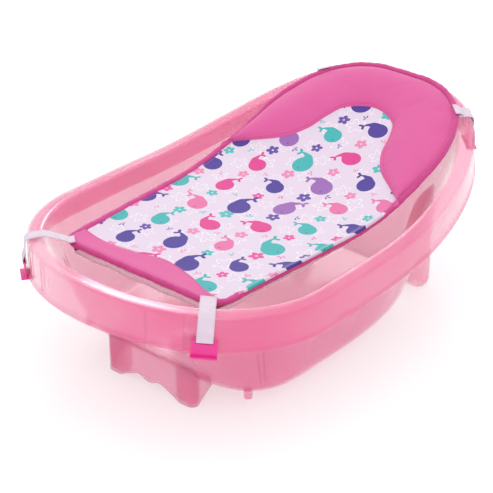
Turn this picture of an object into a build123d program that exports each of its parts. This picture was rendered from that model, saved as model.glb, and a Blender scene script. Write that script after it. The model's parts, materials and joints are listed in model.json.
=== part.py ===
"""Baby bathtub with a wire-framed newborn sling that is hooked over its rim.

Millimetres. +Z is up, +X points to the raised head end, and the origin lies on the
floor under the middle of the rim. The tub is one thin moulding: a bowl, a flange that
rolls outwards, a skirt that hangs from the flange, and the walls that it stands on.
"""

import os
from math import cos, pi, sin, sqrt

from build123d import *

# Tub, driving dimensions
TUB_LENGTH = 800.0
TUB_WIDTH = 540.0
RIM_HEIGHT = 220.0
HEAD_RISE = 91.0
FOOT_RISE = 22.0
RIM_WIDEST_X = -167.0
RIM_FOOT_POWER = 2.0
RIM_HEAD_POWER = 3.0
WALL = 3.0
FLANGE_WIDTH = 22.0
SKIRT_DEPTH = 53.0
SKIRT_END_DEPTH = 10.0
BEAD_REACH = 4.0
BEAD_HEIGHT = 4.0
OUTLINE_STEPS = 40

# Bowl under the flange: how far each wall leans, and the flat floor of the basin
BOWL_CLEARANCE = 38.0
FOOT_LEAN = 124.0
HEAD_LEAN = 134.0
SIDE_LEAN = 41.0
FLOOR_WIDEST_X = -90.0
FLOOR_FOOT_POWER = 4.0
FLOOR_HEAD_POWER = 3.0
FLOOR_CORNER = 16.0

# What the tub stands on
FOOT_WALL_GAP = 15.0
FOOT_WALL_WIDTH = 176.0
FOOT_WALL_RISE = 13.0
FOOT_RETURN = 60.0
FOOT_SPACING = 140.0
FOOT_LENGTH = 20.0
FOOT_WIDTH = 38.0
SCALLOP_SPACING = 46.0
SCALLOP_WIDTH = 30.0
SCALLOP_RISE = 7.0
HEAD_LEG_X = 262.0
HEAD_LEG_SPACING = 252.0
HEAD_LEG_LENGTH = 34.0
HEAD_LEG_WIDTH = 42.0
FOOT_CORNER = 6.0
FOOT_PROUD = 2.0
NUB_DIAMETER = 14.0
NUB_HEIGHT = 5.0
NUB_X = -228.0
NUB_SPACING = 330.0

# Drain
DRAIN_X = -185.0
DRAIN_BORE = 34.0
PLUG_CLEARANCE = 0.08
PLUG_RIM_REACH = 7.0
PLUG_RIM_THICKNESS = 3.0
PLUG_SEAT_GAP = 0.05
PLUG_STEM_DEPTH = 7.0
PLUG_TAB_HEIGHT = 12.0
PLUG_TAB_WIDTH = 18.0
PLUG_TAB_THICKNESS = 4.0
PLUG_TAB_HOLE = 7.0

# Sling: wire hoop, its sleeve, and the corners of the hoop seen from above
WIRE_RADIUS = 3.0
WIRE_GAP = 1.0
JOINER_LENGTH = 34.0
JOINER_WALL = 0.8
JOINER_CLEARANCE = 0.05
SLEEVE_WALL = 2.2
SLEEVE_CLEARANCE = 0.3
SEAM_CLEARANCE = 0.3
CLOTH_CLEARANCE = 1.3
SLING_FOOT_X = -282.0
SLING_FOOT_Z = 212.0
SLING_FOOT_HALF = 155.0
SLING_KNEE_X = 90.0
SLING_KNEE_Z = 207.0
SLING_KNEE_HALF = 176.0
SLING_SHOULDER_X = 262.0
SLING_SHOULDER_HALF = 176.0
SLING_CHEEK_X = 352.0
SLING_CHEEK_HALF = 134.0
SLING_TOP_X = 385.0
SLING_TOP_Z = 314.0
SLING_TOP_HALF = 62.0
KNEE_RADIUS = 600.0
HOOP_RADII = (28.0, KNEE_RADIUS, 200.0, 130.0, 140.0)

# Cloth layers on the sling
FABRIC_THICKNESS = 1.6
UNDERLAY_DROP = 16.0
UNDERLAY_THICKNESS = 1.2
UNDERLAY_END_X = 250.0
PANEL_THICKNESS = 2.4
# edge of the foot panel: (share of the half width, reach from the foot edge)
PANEL_WAVE = [(1.0, 49.0), (0.6, 37.0), (0.3, 45.0), (0.0, 60.0), (-0.35, 45.0), (-0.63, 23.0), (-1.0, 8.0)]
BOLSTER_THICKNESS = 14.0
# inner edge of the bolster: (x, share of the half width)
BOLSTER_BELL = [(118.0, 1.05), (150.0, 0.8), (180.0, 0.57), (215.0, 0.43), (250.0, 0.37), (280.0, 0.28)]
BOLSTER_BELL_TOP = 299.0

# Straps and the hooks that they carry
STRAP_WIDTH = 24.0
STRAP_THICKNESS = 1.4
STRAP_LIFT = 0.8
STRAP_BEND = 1.6
STRAP_SEAM = 1.3
FOOT_STRAP_ANGLE = 137.0
HEAD_STRAP_ANGLE = 26.0
CLIP_WIDTH = 38.0
CLIP_THICKNESS = 2.5
CLIP_CLEARANCE = 1.0
CLIP_BAR_RADIUS = 1.5
CLIP_LOOP_CLEARANCE = 0.4
CLIP_DROP = 22.0
CLIP_LIP = 6.0

# Worked out from the above
HALF_LENGTH = TUB_LENGTH / 2 - BEAD_REACH
HALF_WIDTH = TUB_WIDTH / 2 - BEAD_REACH
TRIM_HEIGHT = RIM_HEIGHT + HEAD_RISE + 20.0
RIM_INNER_FOOT = FLANGE_WIDTH - HALF_LENGTH
RIM_INNER_HEAD = HALF_LENGTH - FLANGE_WIDTH
RIM_INNER_HALF = HALF_WIDTH - FLANGE_WIDTH
FLOOR_FOOT = RIM_INNER_FOOT + FOOT_LEAN
FLOOR_HEAD = RIM_INNER_HEAD - HEAD_LEAN
FLOOR_HALF = RIM_INNER_HALF - SIDE_LEAN
FLOOR_TOP = BOWL_CLEARANCE + WALL
FOOT_WALL_X = FLOOR_FOOT - FOOT_WALL_GAP
FOOT_X = FOOT_WALL_X - FOOT_PROUD + FOOT_LENGTH / 2
SLEEVE_INNER = WIRE_RADIUS + JOINER_CLEARANCE + JOINER_WALL + SLEEVE_CLEARANCE
SLEEVE_OUTER = SLEEVE_INNER + SLEEVE_WALL
CLOTH_INSET = SLEEVE_OUTER + CLOTH_CLEARANCE
FROM_WALL = (Align.MIN, Align.CENTER)
BEYOND_FOOT = ((2 * SLING_FOOT_X, -SLING_KNEE_HALF), (2 * SLING_FOOT_X, SLING_KNEE_HALF))


def rim_height(x):
    """Height of the rim over the floor: level at the foot, swept up at the head."""
    reach = x / HALF_LENGTH
    if x > 0:
        return RIM_HEIGHT + HEAD_RISE * reach**2
    return RIM_HEIGHT + FOOT_RISE * reach**4


def rim_slope(x):
    """Rise of the rim for each millimetre along X."""
    reach = x / HALF_LENGTH
    if x > 0:
        return 2 * HEAD_RISE * reach / HALF_LENGTH
    return 4 * FOOT_RISE * reach**3 / HALF_LENGTH


def skirt_depth(x):
    """How far the skirt hangs below the rim: a little deeper at both ends."""
    return SKIRT_DEPTH + SKIRT_END_DEPTH * (x / HALF_LENGTH) ** 2


def egg_point(angle, foot, head, half_width, widest_x, foot_power, head_power):
    """Point of an egg outline: two half superellipses that meet at widest_x."""
    along = cos(angle)
    across = sin(angle)
    reach = head - widest_x if along > 0 else widest_x - foot
    power = head_power if along > 0 else foot_power
    x = widest_x + reach * (1 if along > 0 else -1) * abs(along) ** (2 / power)
    y = half_width * (1 if across > 0 else -1) * abs(across) ** (2 / power)
    return x, y


def egg(foot, head, half_width, widest_x, foot_power, head_power):
    """Flat face with an egg outline."""
    points = []
    for step in range(OUTLINE_STEPS):
        angle = 2 * pi * (step + 0.5) / OUTLINE_STEPS
        points.append(egg_point(angle, foot, head, half_width, widest_x, foot_power, head_power))
    with BuildSketch() as face:
        with BuildLine():
            Spline(*points, periodic=True)
        make_face()
    return face.sketch


def rim_outline(inset):
    """Outline of the rim at its shoulder, drawn in by inset."""
    reach = HALF_LENGTH - inset
    return egg(-reach, reach, HALF_WIDTH - inset, RIM_WIDEST_X, RIM_FOOT_POWER, RIM_HEAD_POWER)


def bowl_section(height, inset):
    """Section of the bowl at a height, drawn in by inset."""
    lift = height - BOWL_CLEARANCE
    foot_span = rim_height(-HALF_LENGTH) - BOWL_CLEARANCE
    head_span = rim_height(HALF_LENGTH) - BOWL_CLEARANCE
    side_span = RIM_HEIGHT - BOWL_CLEARANCE
    share = lift / head_span
    foot = FLOOR_FOOT - FOOT_LEAN * lift / foot_span + inset
    head = FLOOR_HEAD + HEAD_LEAN * lift / head_span - inset
    half = FLOOR_HALF + SIDE_LEAN * lift / side_span - inset
    widest = FLOOR_WIDEST_X + (RIM_WIDEST_X - FLOOR_WIDEST_X) * share
    foot_power = FLOOR_FOOT_POWER + (RIM_FOOT_POWER - FLOOR_FOOT_POWER) * share
    head_power = FLOOR_HEAD_POWER + (RIM_HEAD_POWER - FLOOR_HEAD_POWER) * share
    return egg(foot, head, half, widest, foot_power, head_power)


def rim_band(top, bottom):
    """Side view of a strip along the rim, between two depths below it."""
    stations = [HALF_LENGTH * 1.05 * step / 5 for step in range(-5, 6)]
    with BuildSketch(Plane.XZ) as strip:
        with BuildLine():
            upper = Spline(*[(x, rim_height(x) - top(x)) for x in stations])
            lower = Spline(*[(x, rim_height(x) - bottom(x)) for x in stations])
            Line(upper @ 0, lower @ 0)
            Line(upper @ 1, lower @ 1)
        make_face()
    return strip.sketch


def level(depth):
    """A constant depth below the rim, as rim_band takes it."""
    return lambda x: depth


def feet_plan(inset):
    """The four feet from above: a pair under the foot end and a pair under the head."""
    with BuildSketch() as feet:
        with Locations((FOOT_X, -FOOT_SPACING / 2), (FOOT_X, FOOT_SPACING / 2)):
            RectangleRounded(FOOT_LENGTH - 2 * inset, FOOT_WIDTH - 2 * inset, FOOT_CORNER - inset)
        with Locations((HEAD_LEG_X, -HEAD_LEG_SPACING / 2), (HEAD_LEG_X, HEAD_LEG_SPACING / 2)):
            RectangleRounded(HEAD_LEG_LENGTH - 2 * inset, HEAD_LEG_WIDTH - 2 * inset, FOOT_CORNER - inset)
    return feet.sketch


# Rim: the flange, then the skirt with the bead along its lower edge
with BuildPart() as flange:
    with BuildSketch():
        add(rim_outline(0))
    extrude(amount=TRIM_HEIGHT)
    extrude(rim_band(level(0), level(WALL)), amount=TUB_WIDTH, both=True, mode=Mode.INTERSECT)

with BuildPart() as skirt:
    with BuildSketch():
        add(rim_outline(0))
    extrude(amount=TRIM_HEIGHT)
    with BuildSketch():
        add(rim_outline(WALL))
    extrude(amount=TRIM_HEIGHT, mode=Mode.SUBTRACT)
    extrude(rim_band(level(0), skirt_depth), amount=TUB_WIDTH, both=True, mode=Mode.INTERSECT)

with BuildPart() as bead:
    with BuildSketch():
        add(rim_outline(-BEAD_REACH))
    extrude(amount=TRIM_HEIGHT)
    with BuildSketch():
        add(rim_outline(WALL / 2))
    extrude(amount=TRIM_HEIGHT, mode=Mode.SUBTRACT)
    strip = rim_band(lambda x: skirt_depth(x) - BEAD_HEIGHT, skirt_depth)
    extrude(strip, amount=TUB_WIDTH, both=True, mode=Mode.INTERSECT)

# Hollow feet that run up to the bowl, each closed by a flat pad
with BuildPart() as feet:
    with BuildSketch():
        add(feet_plan(0))
    extrude(amount=RIM_HEIGHT)
    with BuildSketch(Plane.XY.offset(WALL)):
        add(feet_plan(WALL))
    extrude(amount=RIM_HEIGHT, mode=Mode.SUBTRACT)

# Water space of the bowl, open at the top
with BuildPart() as basin:
    with BuildSketch(Plane.XY.offset(FLOOR_TOP)):
        add(bowl_section(FLOOR_TOP, WALL))
    with BuildSketch(Plane.XY.offset(TRIM_HEIGHT)):
        add(bowl_section(TRIM_HEIGHT, WALL))
    loft()
    fillet(basin.faces().sort_by(Axis.Z)[0].edges(), radius=FLOOR_CORNER - WALL)

with BuildPart() as tub_shell:
    with BuildSketch(Plane.XY.offset(BOWL_CLEARANCE)):
        add(bowl_section(BOWL_CLEARANCE, 0))
    with BuildSketch(Plane.XY.offset(TRIM_HEIGHT)):
        add(bowl_section(TRIM_HEIGHT, 0))
    loft()
    fillet(tub_shell.faces().sort_by(Axis.Z)[0].edges(), radius=FLOOR_CORNER)
    extrude(rim_band(level(0), level(TRIM_HEIGHT)), amount=TUB_WIDTH, both=True, mode=Mode.INTERSECT)
    add(flange.part)
    add(skirt.part)
    add(bead.part)
    # cross wall under the foot end, with its returns and scalloped lower edge
    with BuildSketch(Plane.XY.offset(FOOT_WALL_RISE)):
        with Locations((FOOT_WALL_X, 0)):
            Rectangle(FOOT_RETURN, FOOT_WALL_WIDTH, align=FROM_WALL)
            Rectangle(FOOT_RETURN, FOOT_WALL_WIDTH - 2 * WALL, align=FROM_WALL, mode=Mode.SUBTRACT)
            Rectangle(WALL, FOOT_WALL_WIDTH, align=FROM_WALL)
    extrude(amount=FLOOR_TOP)
    with BuildSketch(Plane.XY.offset(SCALLOP_RISE)):
        with Locations((FOOT_WALL_X, -SCALLOP_SPACING / 2), (FOOT_WALL_X, SCALLOP_SPACING / 2)):
            Rectangle(WALL, SCALLOP_WIDTH, align=FROM_WALL)
    extrude(amount=FLOOR_TOP)
    add(feet.part)
    with BuildSketch(Plane.XY.offset(BOWL_CLEARANCE - NUB_HEIGHT)):
        with Locations((NUB_X, -NUB_SPACING / 2), (NUB_X, NUB_SPACING / 2)):
            Circle(NUB_DIAMETER / 2)
    extrude(amount=NUB_HEIGHT + FLOOR_CORNER)
    add(basin.part, mode=Mode.SUBTRACT)
    with Locations((DRAIN_X, 0, FLOOR_TOP)):
        Hole(DRAIN_BORE / 2, depth=2 * WALL)
tub_shell.part.label = "tub_shell"

# Drain plug: a stem in the bore, a rim on the floor and a tab to pull
with BuildPart() as drain_plug:
    with BuildSketch(Plane.XY.offset(FLOOR_TOP - PLUG_STEM_DEPTH)):
        with Locations((DRAIN_X, 0)):
            Circle(DRAIN_BORE / 2 - PLUG_CLEARANCE)
    extrude(amount=PLUG_STEM_DEPTH + PLUG_RIM_THICKNESS)
    with BuildSketch(Plane.XY.offset(FLOOR_TOP + PLUG_SEAT_GAP)):
        with Locations((DRAIN_X, 0)):
            Circle(DRAIN_BORE / 2 + PLUG_RIM_REACH)
    extrude(amount=PLUG_RIM_THICKNESS)
    fillet(drain_plug.edges().group_by(Axis.Z)[-1], radius=PLUG_RIM_THICKNESS / 3)
    with BuildSketch(Plane.XZ):
        with Locations((DRAIN_X, FLOOR_TOP + PLUG_RIM_THICKNESS)):
            SlotOverall(2 * PLUG_TAB_HEIGHT, PLUG_TAB_WIDTH, rotation=90)
        with Locations((DRAIN_X, FLOOR_TOP + PLUG_RIM_THICKNESS + PLUG_TAB_HEIGHT / 2)):
            Circle(PLUG_TAB_HOLE / 2, mode=Mode.SUBTRACT)
        with Locations((DRAIN_X, FLOOR_TOP)):
            Rectangle(PLUG_TAB_WIDTH, TUB_LENGTH, align=(Align.CENTER, Align.MAX), mode=Mode.SUBTRACT)
    extrude(amount=PLUG_TAB_THICKNESS / 2, both=True)
drain_plug.part.label = "drain_plug"


def sling_height(x):
    """Height of the sling's side line before the knee is rounded: two straight runs."""
    if x < SLING_KNEE_X:
        share = (x - SLING_FOOT_X) / (SLING_KNEE_X - SLING_FOOT_X)
        return SLING_FOOT_Z + (SLING_KNEE_Z - SLING_FOOT_Z) * share
    share = (x - SLING_KNEE_X) / (SLING_TOP_X - SLING_KNEE_X)
    return SLING_KNEE_Z + (SLING_TOP_Z - SLING_KNEE_Z) * share


HOOP_CORNERS = [
    (SLING_FOOT_X, SLING_FOOT_HALF),
    (SLING_KNEE_X, SLING_KNEE_HALF),
    (SLING_SHOULDER_X, SLING_SHOULDER_HALF),
    (SLING_CHEEK_X, SLING_CHEEK_HALF),
    (SLING_TOP_X, SLING_TOP_HALF),
]


def hoop_path(gap):
    """Bent wire round the sling, from one end to the other across a gap at the foot."""
    left = [(x, y, sling_height(x)) for x, y in HOOP_CORNERS]
    right = [(x, -y, sling_height(x)) for x, y in reversed(HOOP_CORNERS)]
    start = (SLING_FOOT_X, gap / 2, SLING_FOOT_Z)
    end = (SLING_FOOT_X, -gap / 2, SLING_FOOT_Z)
    with BuildLine() as path:
        FilletPolyline(start, *left, *right, end, radius=[*HOOP_RADII, *reversed(HOOP_RADII)])
    return path.line


def sling_plan(inset):
    """Outline of the sling from above, drawn in from the wire by inset."""
    points = HOOP_CORNERS + [(x, -y) for x, y in reversed(HOOP_CORNERS)]
    radii = [*HOOP_RADII, *reversed(HOOP_RADII)]
    with BuildSketch() as outline:
        with BuildLine():
            FilletPolyline(*points, radius=radii, close=True)
        make_face()
        offset(amount=-inset, mode=Mode.REPLACE)
    return outline.sketch


def sling_band(top, bottom):
    """Side view of a layer of the sling, between two heights over its side line."""
    spread = SLING_TOP_X - SLING_KNEE_X
    stations = (SLING_FOOT_X - spread, SLING_KNEE_X, SLING_TOP_X + spread)
    line = [(x, sling_height(x)) for x in stations]
    with BuildSketch(Plane.XZ) as strip:
        with BuildLine():
            upper = FilletPolyline(*[(x, z + top) for x, z in line], radius=KNEE_RADIUS)
            lower = FilletPolyline(*[(x, z + bottom) for x, z in line], radius=KNEE_RADIUS)
            Line(upper @ 0, lower @ 0)
            Line(upper @ 1, lower @ 1)
        make_face()
    return strip.sketch


def tube_section(path, at, radius):
    """Disc across a path, at a share of its length."""
    with BuildSketch(Plane(origin=path @ at, z_dir=path % at)) as disc:
        Circle(radius)
    return disc.sketch


# Wire hoop that keeps the sling open, and the ferrule that closes it
hoop = hoop_path(WIRE_GAP)
with BuildPart() as sling_frame:
    sweep(tube_section(hoop, 0, WIRE_RADIUS), path=hoop)
sling_frame.part.label = "sling_frame"

with BuildPart() as frame_joiner:
    with BuildSketch(Plane(origin=(SLING_FOOT_X, 0, SLING_FOOT_Z), z_dir=(0, 1, 0))):
        Circle(WIRE_RADIUS + JOINER_CLEARANCE + JOINER_WALL)
        Circle(WIRE_RADIUS + JOINER_CLEARANCE, mode=Mode.SUBTRACT)
    extrude(amount=JOINER_LENGTH / 2, both=True)
frame_joiner.part.label = "frame_joiner"

# Sewn sleeve over the whole wire
sleeve = hoop_path(SEAM_CLEARANCE)
with BuildPart() as edge_binding:
    sweep(tube_section(sleeve, 0, SLEEVE_OUTER), path=sleeve)
    sweep(tube_section(sleeve, 0, SLEEVE_INNER), path=sleeve, mode=Mode.SUBTRACT)
edge_binding.part.label = "edge_binding"

# Printed seat cloth between the sleeves
with BuildPart() as sling_fabric:
    extrude(sling_plan(CLOTH_INSET), amount=TRIM_HEIGHT * 2)
    extrude(sling_band(0, -FABRIC_THICKNESS), amount=TUB_WIDTH, both=True, mode=Mode.INTERSECT)
sling_fabric.part.label = "sling_fabric"

# Open net under it: a shallow tray that hangs from the sleeve
with BuildPart() as hollow:
    extrude(sling_plan(CLOTH_INSET + UNDERLAY_THICKNESS), amount=TRIM_HEIGHT * 2)
    floor_top = UNDERLAY_THICKNESS - UNDERLAY_DROP
    extrude(sling_band(TRIM_HEIGHT, floor_top), amount=TUB_WIDTH, both=True, mode=Mode.INTERSECT)

with BuildPart() as sling_underlay:
    extrude(sling_plan(CLOTH_INSET), amount=TRIM_HEIGHT * 2)
    net_top = -FABRIC_THICKNESS - SEAM_CLEARANCE
    extrude(sling_band(net_top, -UNDERLAY_DROP), amount=TUB_WIDTH, both=True, mode=Mode.INTERSECT)
    add(hollow.part, mode=Mode.SUBTRACT)
    split(bisect_by=Plane.YZ.offset(UNDERLAY_END_X), keep=Keep.BOTTOM)
sling_underlay.part.label = "sling_underlay"

# Foot panel: its inner edge is a wave that swells at the middle and narrows to one side
with BuildPart() as foot_panel:
    with BuildSketch():
        with BuildLine():
            wave = Spline(*[(SLING_FOOT_X + reach, share * SLING_KNEE_HALF) for share, reach in PANEL_WAVE])
            Polyline(wave @ 1, *BEYOND_FOOT, wave @ 0)
        make_face()
        add(sling_plan(CLOTH_INSET), mode=Mode.INTERSECT)
    extrude(amount=TRIM_HEIGHT * 2)
    panel_top = SEAM_CLEARANCE + PANEL_THICKNESS
    extrude(sling_band(panel_top, SEAM_CLEARANCE), amount=TUB_WIDTH, both=True, mode=Mode.INTERSECT)
foot_panel.part.label = "foot_panel"

# Padded bolster round the head: its inner edge is a bell that opens to the seat
with BuildPart() as head_bolster:
    extrude(sling_plan(CLOTH_INSET), amount=TRIM_HEIGHT * 2)
    with BuildSketch():
        with BuildLine():
            side = [(x, share * SLING_KNEE_HALF) for x, share in BOLSTER_BELL]
            bell = Spline(*side, (BOLSTER_BELL_TOP, 0), *[(x, -y) for x, y in reversed(side)])
            Polyline(bell @ 1, *BEYOND_FOOT, bell @ 0)
        make_face()
    extrude(amount=TRIM_HEIGHT * 2, mode=Mode.SUBTRACT)
    bolster_top = SEAM_CLEARANCE + BOLSTER_THICKNESS
    extrude(sling_band(bolster_top, SEAM_CLEARANCE), amount=TUB_WIDTH, both=True, mode=Mode.INTERSECT)
head_bolster.part.label = "head_bolster"


def strap_plane(angle, side):
    """Plane across the rim where a strap hangs: local x points out, local y up."""
    egg_shape = (-HALF_LENGTH, HALF_LENGTH, HALF_WIDTH, RIM_WIDEST_X, RIM_FOOT_POWER, RIM_HEAD_POWER)
    x, y = egg_point(angle, *egg_shape)
    x_before, y_before = egg_point(angle - 0.01, *egg_shape)
    x_after, y_after = egg_point(angle + 0.01, *egg_shape)
    length = sqrt((x_after - x_before) ** 2 + (y_after - y_before) ** 2)
    out_x = (y_after - y_before) / length
    out_y = side * (x_before - x_after) / length
    along = (out_y, -out_x, rim_slope(x) * out_y)
    return Plane(origin=(x, side * y, rim_height(x)), x_dir=(out_x, out_y, 0), z_dir=along)


def clip_spot(plane):
    """Centre of a clip's bar in the strap's plane."""
    out = BEAD_REACH + CLIP_CLEARANCE + CLIP_THICKNESS / 2
    return out, CLIP_DROP - skirt_depth(plane.origin.X)


def strap(plane):
    """Webbing from the sleeve, over the rim and down to a sewn loop round the clip's bar."""
    near, _ = hoop.closest_points(Vertex(*tuple(plane.origin)))
    start = plane.to_local_coords(near)
    lift = STRAP_LIFT + STRAP_THICKNESS / 2
    out, down = clip_spot(plane)
    loop_inner = CLIP_BAR_RADIUS + CLIP_LOOP_CLEARANCE
    sewn = (start.X + SLEEVE_OUTER + STRAP_SEAM, start.Y)
    crest = (max(sewn[0] + 3 * STRAP_BEND, -FLANGE_WIDTH - 3 * STRAP_THICKNESS), lift)
    loop_side = (out + loop_inner + STRAP_THICKNESS / 2, down)
    with BuildPart() as webbing:
        with BuildSketch(plane):
            with BuildLine() as run:
                FilletPolyline(sewn, crest, (lift, lift), loop_side, radius=STRAP_BEND)
            trace(run.line, line_width=STRAP_THICKNESS)
            with Locations((out, down)):
                Circle(loop_inner + STRAP_THICKNESS)
                Circle(loop_inner, mode=Mode.SUBTRACT)
        extrude(amount=STRAP_WIDTH / 2, both=True)
    return webbing.part


def clip(plane):
    """Hook that grips under the skirt: bar, two arms, plate, lip and a tab to pull."""
    out, down = clip_spot(plane)
    inner = out - CLIP_THICKNESS / 2
    outer = out + CLIP_THICKNESS / 2
    plate_top = down - CLIP_BAR_RADIUS - CLIP_LOOP_CLEARANCE - STRAP_THICKNESS - CLIP_CLEARANCE
    hook_top = -skirt_depth(plane.origin.X) - CLIP_CLEARANCE
    hook_bottom = hook_top - CLIP_THICKNESS
    with BuildPart() as hook:
        with BuildSketch(plane):
            with BuildLine():
                Polyline(
                    (inner, down),
                    (outer, down),
                    (outer, hook_top),
                    (outer + CLIP_LIP, hook_top),
                    (outer + CLIP_LIP, hook_bottom),
                    (-WALL, hook_bottom),
                    (-WALL, hook_top),
                    (inner, hook_top),
                    close=True,
                )
            make_face()
            with Locations((out, down)):
                Circle(CLIP_BAR_RADIUS)
        extrude(amount=CLIP_WIDTH / 2, both=True)
        with BuildSketch(plane):
            with Locations((out, plate_top)):
                Rectangle(4 * CLIP_THICKNESS, CLIP_DROP, align=(Align.CENTER, Align.MIN))
        extrude(amount=STRAP_WIDTH / 2 + CLIP_CLEARANCE, both=True, mode=Mode.SUBTRACT)
        with BuildSketch(plane):
            with Locations((out, down)):
                Circle(CLIP_BAR_RADIUS)
        extrude(amount=CLIP_WIDTH / 2, both=True)
    return hook.part


CORNERS = {
    "foot_front": (FOOT_STRAP_ANGLE, -1),
    "foot_back": (FOOT_STRAP_ANGLE, 1),
    "head_front": (HEAD_STRAP_ANGLE, -1),
    "head_back": (HEAD_STRAP_ANGLE, 1),
}
pieces = [
    tub_shell.part,
    drain_plug.part,
    sling_frame.part,
    frame_joiner.part,
    edge_binding.part,
    sling_fabric.part,
    sling_underlay.part,
    foot_panel.part,
    head_bolster.part,
]
for corner, (degrees, side) in CORNERS.items():
    plane = strap_plane(degrees * pi / 180, side)
    webbing = strap(plane)
    webbing.label = f"strap_{corner}"
    hook = clip(plane)
    hook.label = f"clip_{corner}"
    pieces += [webbing, hook]
    bar = plane.from_local_coords(clip_spot(plane))
    print(corner, "hinge at", bar, "axis", plane.z_dir)

os.makedirs("parts", exist_ok=True)
for piece in pieces:
    export_step(piece, f"parts/{piece.label}.step")
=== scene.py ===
"""Looks of a baby bathtub with a wire-framed newborn sling hooked over its rim.

Metres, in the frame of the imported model: +Z up, +X to the raised head end, and the
origin on the floor under the middle of the rim. Each class below is one sub-assembly:
it holds its sizes, builds its meshes and dresses them.
"""

from __future__ import annotations

import json
import logging
import math
from dataclasses import dataclass, field
from enum import Enum
from functools import cached_property
from typing import Any, Callable, Sequence

import bmesh
import bpy
import numpy as np
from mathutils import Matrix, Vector

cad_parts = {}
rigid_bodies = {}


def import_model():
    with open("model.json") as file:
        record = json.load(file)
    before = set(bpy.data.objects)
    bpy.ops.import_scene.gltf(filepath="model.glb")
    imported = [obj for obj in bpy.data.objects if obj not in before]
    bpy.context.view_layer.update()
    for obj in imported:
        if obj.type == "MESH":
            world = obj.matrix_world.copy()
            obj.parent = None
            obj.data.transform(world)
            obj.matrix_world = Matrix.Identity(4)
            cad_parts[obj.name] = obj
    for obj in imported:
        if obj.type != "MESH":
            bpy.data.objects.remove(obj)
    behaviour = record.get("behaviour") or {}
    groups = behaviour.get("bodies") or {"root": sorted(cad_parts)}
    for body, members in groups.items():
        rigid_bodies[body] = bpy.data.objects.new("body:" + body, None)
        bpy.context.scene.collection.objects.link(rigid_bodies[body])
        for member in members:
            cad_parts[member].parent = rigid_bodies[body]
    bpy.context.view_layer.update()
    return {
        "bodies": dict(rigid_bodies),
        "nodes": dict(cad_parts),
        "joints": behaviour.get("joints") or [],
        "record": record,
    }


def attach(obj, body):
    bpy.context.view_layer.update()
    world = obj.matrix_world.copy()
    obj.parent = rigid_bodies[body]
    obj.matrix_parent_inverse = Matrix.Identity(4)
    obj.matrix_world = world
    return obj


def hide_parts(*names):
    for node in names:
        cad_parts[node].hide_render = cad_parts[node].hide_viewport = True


LOG = logging.getLogger("bathtub")
TUB_BODY = "tub"
CUT_MAP = "cut"
Tree, Node, Socket = bpy.types.NodeTree, bpy.types.Node, bpy.types.NodeSocket
Piece, Mesh = bpy.types.Object, bpy.types.Mesh
Point = tuple[float, float, float]
Plan = Sequence[tuple[float, float]]

# Shared sizes, in metres unless they say otherwise.
GRAIN_PER_METRE = 900.0
RIPPLES_PER_METRE = 16.0
STITCH_PITCH = 0.0042
STITCH_SHARE = 0.72
THREAD_RADIUS = 0.0005
TUBE_CUT_PER_RADIAN = 0.0063
CLOTH_WALL = 0.0012
NET_WALL = 0.0008
# Each strap's corner, its place on the rim's outline in degrees, and its side.
STRAP_SPOTS = (("foot_front", 137.0, -1), ("foot_back", 137.0, 1),
               ("head_front", 26.0, -1), ("head_back", 26.0, 1))


# ---------------------------------------------------------------- nodes and colours


def linear(hex_colour: str) -> tuple[float, float, float, float]:
    """Turns an sRGB hex colour into the linear colour that a socket takes.

    Args:
        hex_colour: Six hex digits after a hash.

    Returns:
        Linear red, green, blue and an alpha of one.
    """
    parts = [int(hex_colour[i : i + 2], 16) / 255 for i in (1, 3, 5)]
    return (*[c / 12.92 if c <= 0.04045 else ((c + 0.055) / 1.055) ** 2.4 for c in parts], 1.0)


def add_node(tree: Tree, kind: str, *inputs: Any, named: dict | None = None, **settings: Any) -> Node:
    """Adds a node with its settings, and fills or links its inputs.

    Args:
        tree: Tree that the node joins.
        kind: Blender's identifier of the node type.
        *inputs: Values for the sockets in order. A node stands for its first output,
            a socket is linked, None leaves the socket alone.
        named: The same for sockets by name.
        **settings: Properties of the node itself.

    Returns:
        The new node.
    """
    node = tree.nodes.new(kind)
    for name, value in settings.items():
        setattr(node, name, value)
    for key, value in [*enumerate(inputs), *(named or {}).items()]:
        if value is None:
            continue
        if isinstance(value, Node):
            value = next(s for s in value.outputs if s.enabled)
        if isinstance(key, str):
            socket = next(s for s in node.inputs if s.enabled and s.name == key)
        else:
            socket = node.inputs[key]
        if isinstance(value, Socket):
            tree.links.new(value, socket)
        else:
            socket.default_value = value
    return node


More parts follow.
